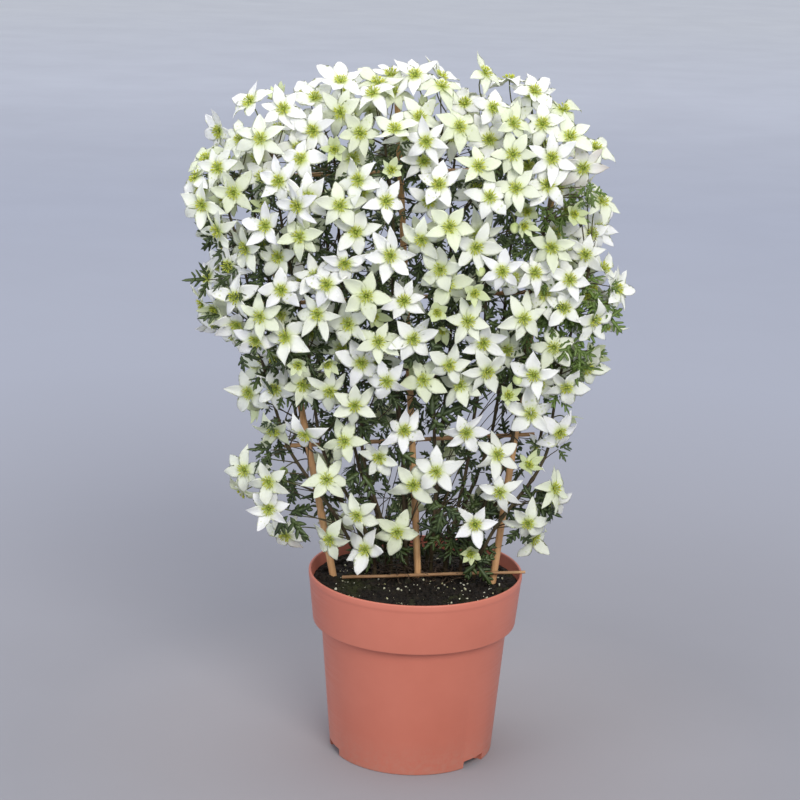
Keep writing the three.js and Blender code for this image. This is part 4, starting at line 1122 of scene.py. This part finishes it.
def petal_skins(centre, facing, spoke, reach, lift, width, point, roll, side_bend, twist, fold,
                wave, phase):
    """Petals from arrays of one value, or one vector, a petal.

    A point that is `along` the petal and `across` it lies out by the reach times along, up by the
    lift times a power of along less the roll times its cube, and sideways by its share of the
    half width. The fold raises both edges over the middle, the twist tips one up and one down,
    and the wave lifts and lowers each edge as a sine along it, with a shift between the two.
    """
    def spread(values):
        """One value a petal, ready to meet its stations and the points round them."""
        return values[:, None, None]

    along = PETAL_STATIONS[None, :, None]
    turn = round_angles(PETAL_SIDES)
    across, through = np.cos(turn)[None, None], np.sin(turn)[None, None]
    side = np.cross(facing, spoke)
    half = spread(width) / 2 * oval(along, BASE_NARROWING, spread(point))
    out = PETAL_START + (spread(reach) - PETAL_START) * along
    ripple = np.sin(9 * along + 2.2 * across + spread(phase)) * across ** 2 * np.sqrt(along)
    up_way = (spread(lift) * along ** 1.35 - spread(roll) * spread(reach) * along ** 3
              + half * np.abs(across) ** 1.4 * spread(fold) + half * across * along * spread(twist)
              + half * ripple * spread(wave) + PETAL_THICKNESS * (1 - 0.5 * along) * through)
    sideways = half * across + spread(side_bend) * spread(reach) * along ** 2
    base = centre[:, None, None]
    rings = (base + out[..., None] * spoke[:, None, None] + sideways[..., None] * side[:, None, None]
             + up_way[..., None] * facing[:, None, None])
    start = centre + PETAL_START / 2 * spoke
    tip_up = (lift - roll * reach)[:, None]
    end = centre + reach[:, None] * spoke + (side_bend * reach)[:, None] * side + tip_up * facing
    return skin(rings, start, end)


print("petal rings:", len(PETAL_STATIONS), "of", PETAL_SIDES, "points, widest at",
      round(BASE_NARROWING / (BASE_NARROWING + 1), 2), "of the way")


def petal_paint(age, tone):
    """For each point: how far along, which face (1 is the back), the flower's age and its tone, and
    then its UV place: across and along."""
    count = len(age)
    turn = round_angles(PETAL_SIDES)
    along = np.repeat(PETAL_STATIONS, PETAL_SIDES)
    behind = np.tile(0.5 - 0.5 * np.sin(turn), len(PETAL_STATIONS))
    across = np.tile(0.5 + 0.5 * np.cos(turn), len(PETAL_STATIONS))
    along, behind, across = (np.append(values, ends) for values, ends in
                             ((along, (0, 1)), (behind, (0.5, 0.5)), (across, (0.5, 0.5))))
    rows = [np.tile(along, count), np.tile(behind, count),
            np.repeat(age, len(along)), np.repeat(tone, len(along))]
    return np.stack(rows, -1), np.stack([np.tile(across, count), np.tile(along, count)], -1)


# %% Every petal of every flower
NOD, LAYER_STEP = 0.15, 0.35
YOUNG_AGE, OPEN_AGE, OLD_AGE, OLD_SHARE = (0.0, 0.1), (0.16, 0.6), (0.85, 1.0), 0.35
OLD_FROM_X, OLD_FROM_Z, GREENER_BELOW = 105, 500, 420
# ranges that a petal's own value is drawn from evenly, the lengths as shares of the flower's size
REACHES, WIDTHS, POINTS = (0.93, 1.12), (0.44, 0.6), (0.88, 1.35)
FOLDS, WAVES = (0.02, 0.6), (0.12, 0.45)
# spreads that a petal's own value is drawn from as a bell curve
TURN_SPREAD, LIFT_SPREAD, BEND_SPREAD, TWIST_SPREAD = 0.12, 0.15, 0.11, 0.5
ROLL, ROLL_SPREAD, BUD_ROLL = 0.12, 0.2, -0.1

blooms = found["bloom"]
full_size = np.hypot(column(blooms, "reach"), column(blooms, "lift"))
openness = column(blooms, "lift") / full_size
for one, size, closed in zip(blooms, full_size, openness):
    high_right = one["centre"][0] > OLD_FROM_X and one["centre"][2] > OLD_FROM_Z
    side = np.cross(one["facing"], one["spoke"])
    tilt = draw.normal(0, NOD) * one["spoke"] + draw.normal(0, NOD) * side
    one["facing"] = unit(one["facing"] + tilt)
    one["spoke"] = unit(one["spoke"] - one["facing"] * (one["spoke"] @ one["facing"]))
    one["size"] = size
    one["tone"] = draw.uniform(0.0, 0.65) + (0.3 if one["centre"][2] < GREENER_BELOW else 0)
    one["age"] = draw.uniform(*(YOUNG_AGE if closed > 0.5 else OPEN_AGE))
    if high_right and draw.uniform() < OLD_SHARE:
        one["age"] = draw.uniform(*OLD_AGE)

petals = []
for one in blooms:
    side = np.cross(one["facing"], one["spoke"])
    for k in range(one["petals"]):
        angle = 2 * np.pi * k / one["petals"] + draw.normal(0, TURN_SPREAD)
        is_open = one["lift"] < 0.5 * one["size"]
        petals.append(dict(
            one, tone=one["tone"] + draw.uniform(-0.1, 0.1),
            spoke=one["spoke"] * math.cos(angle) + side * math.sin(angle),
            centre=one["centre"] + one["facing"] * (LAYER_STEP * (k % 2) + draw.uniform(0, 0.15)),
            reach=one["reach"] * draw.uniform(*REACHES),
            width=one["size"] * draw.uniform(*WIDTHS) * (6 / one["petals"]) ** 0.6,
            point=draw.uniform(*POINTS), lift=one["lift"] + one["size"] * draw.normal(0, LIFT_SPREAD),
            roll=draw.normal(ROLL, ROLL_SPREAD) if is_open else BUD_ROLL,
            side_bend=draw.normal(0, BEND_SPREAD), twist=draw.normal(0, TWIST_SPREAD),
            fold=draw.uniform(*FOLDS), wave=draw.uniform(*WAVES), phase=draw.uniform(0, 6.3)))

PETAL_KEYS = ("centre", "facing", "spoke", "reach", "lift", "width", "point", "roll", "side_bend",
              "twist", "fold", "wave", "phase")


def petals_of(rows):
    """The skins, the paint and the UV places of these petals."""
    shape = petal_skins(**{key: column(rows, key) for key in PETAL_KEYS})
    return shape, *petal_paint(column(rows, "age"), column(rows, "tone"))


print("petals:", len(petals))

# %% [markdown]
# The finish of a petal is where this plant gets its look. The white is not pure: the base glows
# yellow-green, faint green veins run to the tip, the back is a dimmer greenish white, young
# flowers are lime all over and old ones go brown at the edge. The veins are noise drawn out along
# the UV map, and the rest is read from the values painted on each petal. A little light goes
# through, which subsurface scattering gives.

# %% Petal finish
petal_white, tree, shader = new_finish("petal_white", Specular_IOR_Level=0.3, Sheen_Weight=0.12,
                                       Subsurface_Weight=0.18, Subsurface_Scale=0.004)
shader.inputs["Subsurface Radius"].default_value = (1.0, 1.0, 0.7)
along, behind, age, tone = painted_values(tree)
front_colour = ramp(tree, along, (0.0, srgb(190, 208, 92)), (0.12, srgb(212, 225, 138)),
                    (0.23, srgb(238, 243, 212)), (0.37, srgb(252, 253, 247)),
                    (1.0, srgb(254, 254, 253)))
back_colour = ramp(tree, along, (0.0, srgb(176, 192, 112)), (0.3, srgb(224, 231, 188)),
                   (1.0, srgb(242, 245, 224)))
is_back = between(tree, behind, 0.42, 0.58)
colour = mixed(tree, is_back, front_colour, back_colour)
uv = node(tree, "UVMap").outputs["UV"]
bent = node(tree, "Mapping", dict(Vector=uv, Scale=(11, 0.6, 1)))
vein = node(tree, "TexNoise", dict(Vector=bent.outputs["Vector"], Scale=1.0, Detail=2.0)).outputs["Fac"]
vein_mask = between(tree, vein, 0.56, 0.7, 0.0, 0.22)
colour = mixed(tree, vein_mask, colour, srgb(220, 228, 206))
young = between(tree, age, 0.42, 0.02)
colour = mixed(tree, between(tree, young, 0, 1, 0, 0.8), colour, srgb(202, 217, 138))
toned = between(tree, tone, 0.3, 1, 0, 0.32)
colour = mixed(tree, toned, colour, srgb(228, 236, 196))
old = between(tree, age, 0.75, 0.95)
edge = between(tree, along, 0.2, 1.0)
withered = reckoned(tree, "MULTIPLY", old, edge)
colour = mixed(tree, between(tree, withered, 0, 1, 0, 0.6), colour, srgb(168, 132, 104))
spot = object_place(tree)
velvet = placed(tree, relief, Vector=spot, Scale=3000.0, Coarse=500.0)["Height"]
ribs = reckoned(tree, "ADD", velvet, vein)
finish_with(tree, shader, colour, between(tree, vein, 0.3, 0.7, 0.46, 0.62), ribs, 0.00022)

for row, stem_names in (("front", FRONT_STEMS), ("back", BACK_STEMS)):
    shape, paint, uv_places = petals_of([one for one in petals if one["stem"] in stem_names])
    add_piece(f"petals_{row}", shape, petal_white, replaces=stem_names, paint=paint,
              uv=uv_places)

# %% [markdown]
# ## Eyes
# In the middle of each flower two whorls of stamens spread from a small green dome. A stamen is a
# thread that thickens into a long anther, so it is a tube of three sides whose radius jumps near
# the end. There are thousands, and each has only a few faces.

# %% Stamens and domes
STAMENS = 28
STAMEN_STATIONS = np.array([0.0, 0.56, 0.72, 0.94])
STAMEN_RADII = np.array([0.22, 0.2, 0.5, 0.42])
# the inner whorl stands steeper and is shorter than the outer one: degrees, millimetres
INNER_CLIMB, OUTER_CLIMB, YOUNG_CLIMB, CLIMB_SPREAD = 50, 24, 18, 8
INNER_LENGTH, OUTER_LENGTH, YOUNG_SHARE = 4.9, 5.7, 0.75
DOME_RADIUS, DOME_RISE, DOME_LEVELS, DOME_SIDES = 1.3, 1.7, (0, 35, 65), 9
DOME_FOOT, DOME_LIFT, DOME_TOP = -0.3, 0.5, 2.3


def stamen_paths(rows):
    """Threads from the dome's foot: out by a share of their length and up by the rest, curved a
    little upwards at the end."""
    count = len(rows)
    centre, facing, spoke = (column(rows, key)[:, None] for key in ("centre", "facing", "spoke"))
    side = np.cross(facing, spoke)
    young = (column(rows, "age") < 0.1)[:, None]
    whorl = np.arange(STAMENS) % 2
    turn = round_angles(STAMENS) + draw.normal(0, 0.12, (count, STAMENS))
    climb = np.where(whorl, INNER_CLIMB, OUTER_CLIMB) + draw.normal(0, CLIMB_SPREAD, (count, STAMENS))
    climb = np.radians(climb + YOUNG_CLIMB * young)
    length = np.where(whorl, INNER_LENGTH, OUTER_LENGTH) * draw.uniform(0.86, 1.1, (count, STAMENS))
    length = length * np.where(young, YOUNG_SHARE, 1)
    outward = np.cos(turn)[..., None] * spoke + np.sin(turn)[..., None] * side
    t = STAMEN_STATIONS[:, None]
    out = (0.9 + t * (length * np.cos(climb))[:, :, None, None])
    rise = 0.9 + t * (length * np.sin(climb))[:, :, None, None] + 0.7 * t ** 2
    paths = centre[:, :, None] + out * outward[:, :, None] + rise * facing[:, :, None]
    return paths.reshape(-1, len(STAMEN_STATIONS), 3)


def dome_skins(rows):
    """Low domes over the flowers' middles: rings that narrow upwards as a circle's arc does."""
    centre, facing, spoke = (column(rows, key)[:, None, None] for key in ("centre", "facing", "spoke"))
    side = np.cross(facing, spoke)
    climb = np.radians(DOME_LEVELS)[:, None]
    turn = round_angles(DOME_SIDES)
    bumps = 1 + 0.14 * (-1) ** (np.arange(DOME_SIDES) + np.arange(len(climb))[:, None])
    flat = flat_rings(DOME_RADIUS * np.cos(climb) * bumps, turn, spoke, side)
    rings = centre + flat + (DOME_LIFT + DOME_RISE * np.sin(climb))[None, ..., None] * facing
    middle, ahead_of = centre[:, 0, 0], facing[:, 0, 0]
    return skin(rings, middle + DOME_FOOT * ahead_of, middle + DOME_TOP * ahead_of)


def stamens_of(rows):
    """The skins and the paint (way along, chance) of the stamens of these flowers."""
    paths = stamen_paths(rows)
    shape = tubes(paths, np.tile(STAMEN_RADII, (len(paths), 1)), 3, cap=0.8)
    run = np.append(np.repeat(STAMEN_STATIONS, 3), (0, 1))
    chance = np.repeat(draw.uniform(0, 1, len(paths)), len(run))
    return shape, np.stack([np.tile(run, len(paths)), chance, chance, chance], -1)


stamen_gold, tree, shader = new_finish("stamen_green_gold", Specular_IOR_Level=0.3,
                                       Subsurface_Weight=0.1, Subsurface_Scale=0.002)
along, chance, _, _ = painted_values(tree)
thread = ramp(tree, along, (0.0, srgb(170, 190, 62)), (0.5, srgb(214, 224, 120)),
              (0.66, srgb(200, 208, 66)), (1.0, srgb(226, 230, 108)))
spot = object_place(tree)
dusting = placed(tree, mottle, Vector=spot, Scale=900.0)["Mask"]
colour = mixed(tree, between(tree, chance, 0, 1, 0, 0.45), thread, srgb(148, 164, 40))
finish_with(tree, shader, colour, between(tree, dusting, 0, 1, 0.55, 0.8), dusting, 0.0001)

dome_green, tree, shader = new_finish("dome_green", Specular_IOR_Level=0.35)
spot = object_place(tree)
pips = placed(tree, mottle, Vector=spot, Scale=1100.0, Light=srgb(186, 200, 80),
              Dark=srgb(118, 144, 34))
pip_gloss = between(tree, pips["Mask"], 0, 1, 0.45, 0.7)
finish_with(tree, shader, pips["Colour"], pip_gloss, pips["Mask"], 0.0003)

for row in ("front", "back"):
    shape, paint = stamens_of([one for one in blooms if f"_{row}_" in one["stem"]])
    add_piece(f"stamens_{row}", shape, stamen_gold, paint=paint)
add_piece("flower_domes", dome_skins(blooms), dome_green)

# %% [markdown]
# ## Buds and stalks
# A bud is four pale green sepals still closed into an egg that nods on its stalk, and the seams
# between them are four shallow grooves. Every flower, bud and leaf hangs on a thin stalk that
# leaves its stem outwards and comes up behind, so the stalks are smooth curves between the two.

# %% Buds
BUD_STATIONS = np.array([0.04, 0.14, 0.28, 0.44, 0.6, 0.76, 0.9, 0.97])
BUD_HEEL, BUD_FULLNESS, SEAM_DEPTH = 0.68, 1.025, 0.07


def bud_skins(rows, sides=16):
    """Eggs: rings along the bud whose reach follows the oval, with four grooves round it."""
    centre, facing, spoke = (column(rows, key)[:, None, None] for key in ("centre", "facing", "spoke"))
    side = np.cross(facing, spoke)
    turn = round_angles(sides)
    seams = 1 - SEAM_DEPTH * np.abs(np.cos(2 * turn)) ** 6
    reach = BUD_FULLNESS * BUD_RADIUS * oval(BUD_STATIONS, 0.5, 0.62)[:, None] * seams
    flat = flat_rings(reach, turn, spoke, side)
    rise = ((1 + BUD_HEEL) * BUD_STATIONS - BUD_HEEL) * BUD_LENGTH
    rings = centre + flat + rise[None, :, None, None] * facing
    middle, ahead_of = centre[:, 0, 0], facing[:, 0, 0]
    shape = skin(rings, middle - BUD_HEEL * BUD_LENGTH * ahead_of, middle + BUD_LENGTH * ahead_of)
    return shape, way_paint(BUD_STATIONS, sides, len(rows))


bud_green, tree, shader = new_finish("bud_green", Specular_IOR_Level=0.35, Sheen_Weight=0.1)
along, _, _, _ = painted_values(tree)
egg = ramp(tree, along, (0.0, srgb(122, 146, 62)), (0.4, srgb(180, 198, 118)), (1.0, srgb(206, 216, 158)))
spot = object_place(tree)
downy = placed(tree, mottle, Vector=spot, Scale=700.0)["Mask"]
colour = mixed(tree, between(tree, downy, 0, 1, 0, 0.25), egg, srgb(222, 228, 190))
finish_with(tree, shader, colour, between(tree, downy, 0, 1, 0.45, 0.65), downy, 0.0001)

buds = found["bud"]
bud_shape, bud_paint = bud_skins(buds)
add_piece("buds", bud_shape, bud_green, paint=bud_paint)

# %% Stalks
STALK_STATIONS, STALK_SIDES = 10, 5


def stalk_skins(rows, rise, heel, thick, pull_share):
    """Curves from the stem to `heel` behind the flower: they leave the stem outwards and arrive
    along the way the flower faces, `pull_share` of their length straight."""
    centre, facing = column(rows, "centre"), column(rows, "facing")
    root = stalk_roots(rows, rise)
    distance = np.linalg.norm(centre - root, axis=1, keepdims=True)
    outward = unit((centre - root) * [1, 1, 0.4]) + [0, 0, 0.35]
    paths = bend(root, 0.3 * distance * outward, -pull_share * distance * facing,
                 centre - heel * facing, STALK_STATIONS)
    radii = np.linspace(1.0, 0.9, STALK_STATIONS) * np.full((len(rows), 1), thick)
    paint = way_paint(np.linspace(0, 1, STALK_STATIONS), STALK_SIDES, len(rows))
    return tubes(paths, radii, STALK_SIDES), paint


leaves = found["leaf"]
stalk_sets = [stalk_skins(blooms, rise=0.4, heel=0.4, thick=0.62, pull_share=0.3),
              stalk_skins(buds, rise=-0.4, heel=4.2, thick=0.62, pull_share=0.25),
              stalk_skins(leaves, rise=0.25, heel=0.3, thick=0.55, pull_share=0.2)]
stalk_green, tree, shader = new_finish("stalk_green", Specular_IOR_Level=0.35)
along, _, _, _ = painted_values(tree)
spot = object_place(tree)
tint = placed(tree, mottle, Vector=spot, Scale=200.0, Light=srgb(118, 132, 66), Dark=srgb(84, 78, 46))
colour = mixed(tree, between(tree, along, 0.2, 0.9), srgb(74, 62, 42), tint["Colour"])
finish_with(tree, shader, colour, between(tree, tint["Mask"], 0, 1, 0.45, 0.65),
            placed(tree, relief, Vector=spot, Scale=2000.0, Coarse=400.0)["Height"], 0.0001)
add_piece("stalks", joined(*[shape for shape, _ in stalk_sets]), stalk_green,
          paint=np.concatenate([paint for _, paint in stalk_sets]))

# %% [markdown]
# ## Leaves
# The leaf is cut like parsley: three leaflets, each with side lobes that get shorter towards the
# tip. So a leaf is a list of narrow lobes on a flat plan, and every lobe is a thin pointed skin
# that follows the leaf's droop. Small leaves by the same plan stand all over the stems, where the
# photograph shows a dark net of foliage behind the flowers.

# %% Leaf plan
LEAFLETS = ((0, 0.08, 0.92), (74, 0.04, 0.76), (-74, 0.04, 0.76))
SIDE_LOBES = ((0.24, 54, 0.40), (0.46, 44, 0.36), (0.68, 34, 0.26))
LOBE_WIDTH, SIDE_LOBE_WIDTH = 0.2, 0.15
LOBE_HALF_THICKNESS, LOBE_CUP = 0.011, 0.25


def leaf_plan(side_lobes):
    """Rows of (start x, start y, direction, length, width) for a leaf of size 1."""
    rows = []
    for angle, begin, length in LEAFLETS:
        turn = math.radians(angle)
        rows.append((begin * math.cos(turn), begin * math.sin(turn), turn, length, LOBE_WIDTH))
        for place, spread_angle, share in side_lobes:
            far = begin + place * length
            for hand in (1, -1):
                lobe_turn = turn + hand * math.radians(spread_angle)
                rows.append((far * math.cos(turn), far * math.sin(turn), lobe_turn, share * length,
                             SIDE_LOBE_WIDTH))
    return np.array(rows)


def leaf_skins(centre, facing, spoke, size, plan, stations, seed):
    """Leaves from arrays: each lobe's midline runs on the plan, the rings are flat diamonds, and
    the whole plan is bent down by the square of the way out and ruffled a little."""
    chance = np.random.default_rng(seed)
    count, lobes = len(centre), len(plan)
    along = np.linspace(0, 1, stations + 2)
    along[1:-1] = np.linspace(0.16, 0.84, stations)
    turn = plan[:, 2] + chance.normal(0, 0.12, (count, lobes))
    length = plan[:, 3] * chance.uniform(0.8, 1.12, (count, lobes))
    x = plan[:, 0, None] + length[..., None] * np.cos(turn)[..., None] * along
    y = plan[:, 1, None] + length[..., None] * np.sin(turn)[..., None] * along
    half = plan[:, 4, None] / 2 * oval(along, 0.5, 0.7)
    edge_x, edge_y = -half * np.sin(turn)[..., None], half * np.cos(turn)[..., None]
    ruffle = chance.normal(0, 0.05, (count, lobes, 1)) * along
    depth = -LEAF_DROOP * (x ** 2 + y ** 2) + ruffle
    cupped = depth + LOBE_CUP * half
    ring = [(x + edge_x, y + edge_y, cupped), (x, y, depth + LOBE_HALF_THICKNESS),
            (x - edge_x, y - edge_y, cupped), (x, y, depth - LOBE_HALF_THICKNESS)]
    rings = np.stack([np.stack(np.broadcast_arrays(*place), -1) for place in ring], 3)
    side = np.cross(facing, spoke)
    axes = np.stack([spoke, side, facing], 1)
    world_rings = centre[:, None, None, None] + size[:, None, None, None, None] * np.einsum(
        "nlsrk,nkd->nlsrd", rings, axes)
    world_rings = world_rings.reshape(count * lobes, stations + 2, 4, 3)
    inner = world_rings[:, 1:-1]
    shape = skin(inner, world_rings[:, 0].mean(axis=1), world_rings[:, -1].mean(axis=1))
    across = np.tile([0.0, 0.5, 1.0, 0.5], stations)
    below = np.tile([0.5, 0.0, 0.5, 1.0], stations)
    run = np.repeat(along[1:-1], 4)
    across, below, run = (np.append(values, ends) for values, ends in
                          ((across, (0.5, 0.5)), (below, (0.5, 0.5)), (run, (0, 1))))
    green = np.repeat(chance.uniform(0, 1, count), lobes * len(run))
    # painted light: leaves high on the right, where the light falls, get a value that the finish turns
    # into a brighter green
    sunny = np.clip((centre[:, 0] - 60) / 50, 0, 1) * np.clip((centre[:, 2] - 280) / 40, 0, 1)
    bright = np.repeat(sunny, lobes * len(run))
    paint = np.stack([np.tile(run, count * lobes), np.tile(below, count * lobes), bright, green], -1)
    return shape, paint, np.stack([np.tile(across, count * lobes), np.tile(run, count * lobes)], -1)


print("lobes of a large leaf:", len(leaf_plan(SIDE_LOBES)))

# %% Leaf finish
leaf_green, tree, shader = new_finish("leaf_green", Specular_IOR_Level=0.5)
_, behind, brightness, tone = painted_values(tree)
uv = node(tree, "UVMap").outputs["UV"]
across = node(tree, "SeparateXYZ", dict(Vector=uv)).outputs["X"]
off_middle = reckoned(tree, "ABSOLUTE", reckoned(tree, "SUBTRACT", across, 0.5))
rib = between(tree, off_middle, 0.1, 0.0, 0.0, 0.45)
spot = object_place(tree)
deep = placed(tree, mottle, Vector=spot, Scale=90.0, Light=srgb(80, 96, 46), Dark=srgb(34, 50, 28))
# painted light: the leaves painted as sunny are mixed towards a brighter green
lit = mixed(tree, between(tree, brightness, 0, 1, 0, 0.8), deep["Colour"], srgb(106, 132, 52))
toned = mixed(tree, between(tree, tone, 0.4, 1, 0, 0.35), lit, srgb(66, 78, 46))
below = mixed(tree, between(tree, behind, 0.6, 0.9, 0, 0.7), toned, srgb(98, 120, 84))
colour = mixed(tree, rib, below, srgb(112, 134, 84))
wrinkle = placed(tree, relief, Vector=spot, Scale=1400.0, Coarse=350.0)["Height"]
finish_with(tree, shader, colour, between(tree, deep["Mask"], 0, 1, 0.32, 0.5), wrinkle, 0.00025)
print("finishes so far:", len(bpy.data.materials))

# %% Leaves of the solids, and small ones between them
SMALL_LEAVES, LOW_LEAF_SHARE, LOW_LEAVES, HIGH_FROM = 720, 0.25, (174, 335), 335
SMALL_SIZES, LOWEST_SIZES, LARGER_BELOW = (12, 26), (15, 29), 240
CANE_SIGHT, BARE_CANE_TOP = 15, 330
OUTLINE_NEAR, OUTLINE_INSET = 30, 4


def add_leaves(name, rows, side_lobes, stations, seed):
    """Leaves on these rows as one piece."""
    keys = ("centre", "facing", "spoke", "size")
    shape, paint, uv = leaf_skins(*(column(rows, key) for key in keys), leaf_plan(side_lobes),
                                  stations, seed)
    add_piece(name, shape, leaf_green, paint=paint, uv=uv)


def hides_cane(centre):
    """Whether a low leaf would stand in front of a cane, which the photograph shows bare."""
    beside = [abs(centre[0] - cane_x(cane, centre[2])) < CANE_SIGHT for cane in CANES.values()]
    return centre[1] < 4 and centre[2] < BARE_CANE_TOP and any(beside)


def inside_outline(centre):
    """Whether the flowers about this height reach further out than the leaf, on both sides."""
    near = [one["centre"][0] for one in blooms if abs(one["centre"][2] - centre[2]) < OUTLINE_NEAR]
    return min(near) + OUTLINE_INSET < centre[0] < max(near) - OUTLINE_INSET


def small_leaf_rows(count):
    """Small leaves on short stalks, a share of them low on the stems and the rest higher up. They
    reach further from the stem with height, and one that would hide a cane or stick out past the
    flowers is left out."""
    rows = []
    names = list(stems)
    for _ in range(count):
        stem = stems[names[int(draw.integers(len(names)))]]
        low = draw.uniform() < LOW_LEAF_SHARE
        height = draw.uniform(*(LOW_LEAVES if low else (HIGH_FROM, stem["top"] - 10)))
        root = stem_points(stem, height)
        forward = -1 if stem["is_front"] or draw.uniform() < 0.4 else 1
        far = np.clip((height - 150) / 9, 3, 20)
        out = np.array([draw.normal(0, 15), forward * draw.uniform(0, far), draw.uniform(-4, 12)])
        facing = [draw.normal(0, 0.5), forward * draw.uniform(0.3, 1), draw.uniform(0.1, 1.1)]
        facing = unit(np.array(facing))
        tip = unit(out + np.array([draw.normal(0, 14), 0, draw.normal(-4, 9)]))
        spoke = unit(tip - facing * (tip @ facing))
        size = draw.uniform(*(LOWEST_SIZES if height < LARGER_BELOW else SMALL_SIZES))
        if inside_outline(root + out) and not hides_cane(root + out):
            rows.append(dict(centre=root + out, root=root, facing=facing, spoke=spoke, size=size))
    return rows


add_leaves("cut_leaves", leaves, SIDE_LOBES, 3, 31)
small = small_leaf_rows(SMALL_LEAVES)
add_leaves("small_leaves", small, SIDE_LOBES[:2], 2, 32)
root, tip = column(small, "root"), column(small, "centre")
paths = bend(root, (tip - root) * 0.3 + [0, 0, 2], (root - tip) * 0.3, tip, 5)
add_piece("small_leaf_stalks", tubes(paths, np.full((len(small), 5), 0.4), 4), stem_wood)

# %% [markdown]
# ## Floor
# The floor is a wide pale disc with a faint grain, far larger than the view, so that it is also the
# backdrop, as in a studio sweep. Its colour holds painted shade and painted light: a soft painted shadow
# makes the paper greyer under and round the plant, darkest about a third of a metre out, and painted
# light pales it with the distance from the plant.

# %% Floor
FLOOR_RADIUS, FLOOR_SIDES = 22000, 96
paper, tree, shader = new_finish("paper_painted_shade_and_light", Specular_IOR_Level=0.15)
spot = object_place(tree)
sweep = placed(tree, mottle, Vector=spot, Scale=3.0)["Mask"]
far = node(tree, "VectorMath", {0: spot}, operation="LENGTH").outputs["Value"]
# painted shade and light by the distance from the plant: a ring of painted shadow round it, then paler
# and paler paper as painted light
pale = ramp(tree, between(tree, far, 0.0, 9.0), (0.0, srgb(158, 155, 158)), (0.024, srgb(153, 151, 155)),
            (0.04, srgb(147, 147, 153)), (0.07, srgb(156, 157, 165)), (0.16, srgb(180, 184, 196)),
            (0.33, srgb(206, 211, 224)), (0.6, srgb(243, 247, 255)), (1.0, srgb(250, 253, 255)))
colour = mixed(tree, between(tree, sweep, 0, 1, 0, 0.1), pale, srgb(172, 174, 184))
finish_with(tree, shader, colour, between(tree, sweep, 0, 1, 0.8, 0.9))
turn = round_angles(FLOOR_SIDES)
rim = np.stack([FLOOR_RADIUS * np.cos(turn), FLOOR_RADIUS * np.sin(turn), 0 * turn], -1)
floor_mesh = bpy.data.meshes.new("studio_floor")
floor_mesh.from_pydata((rim * MM).tolist(), [], [list(range(FLOOR_SIDES))])
floor_mesh.materials.append(paper)
studio_floor = bpy.data.objects.new("studio_floor", floor_mesh)
bpy.context.scene.collection.objects.link(studio_floor)
print("floor radius in metres:", FLOOR_RADIUS * MM)
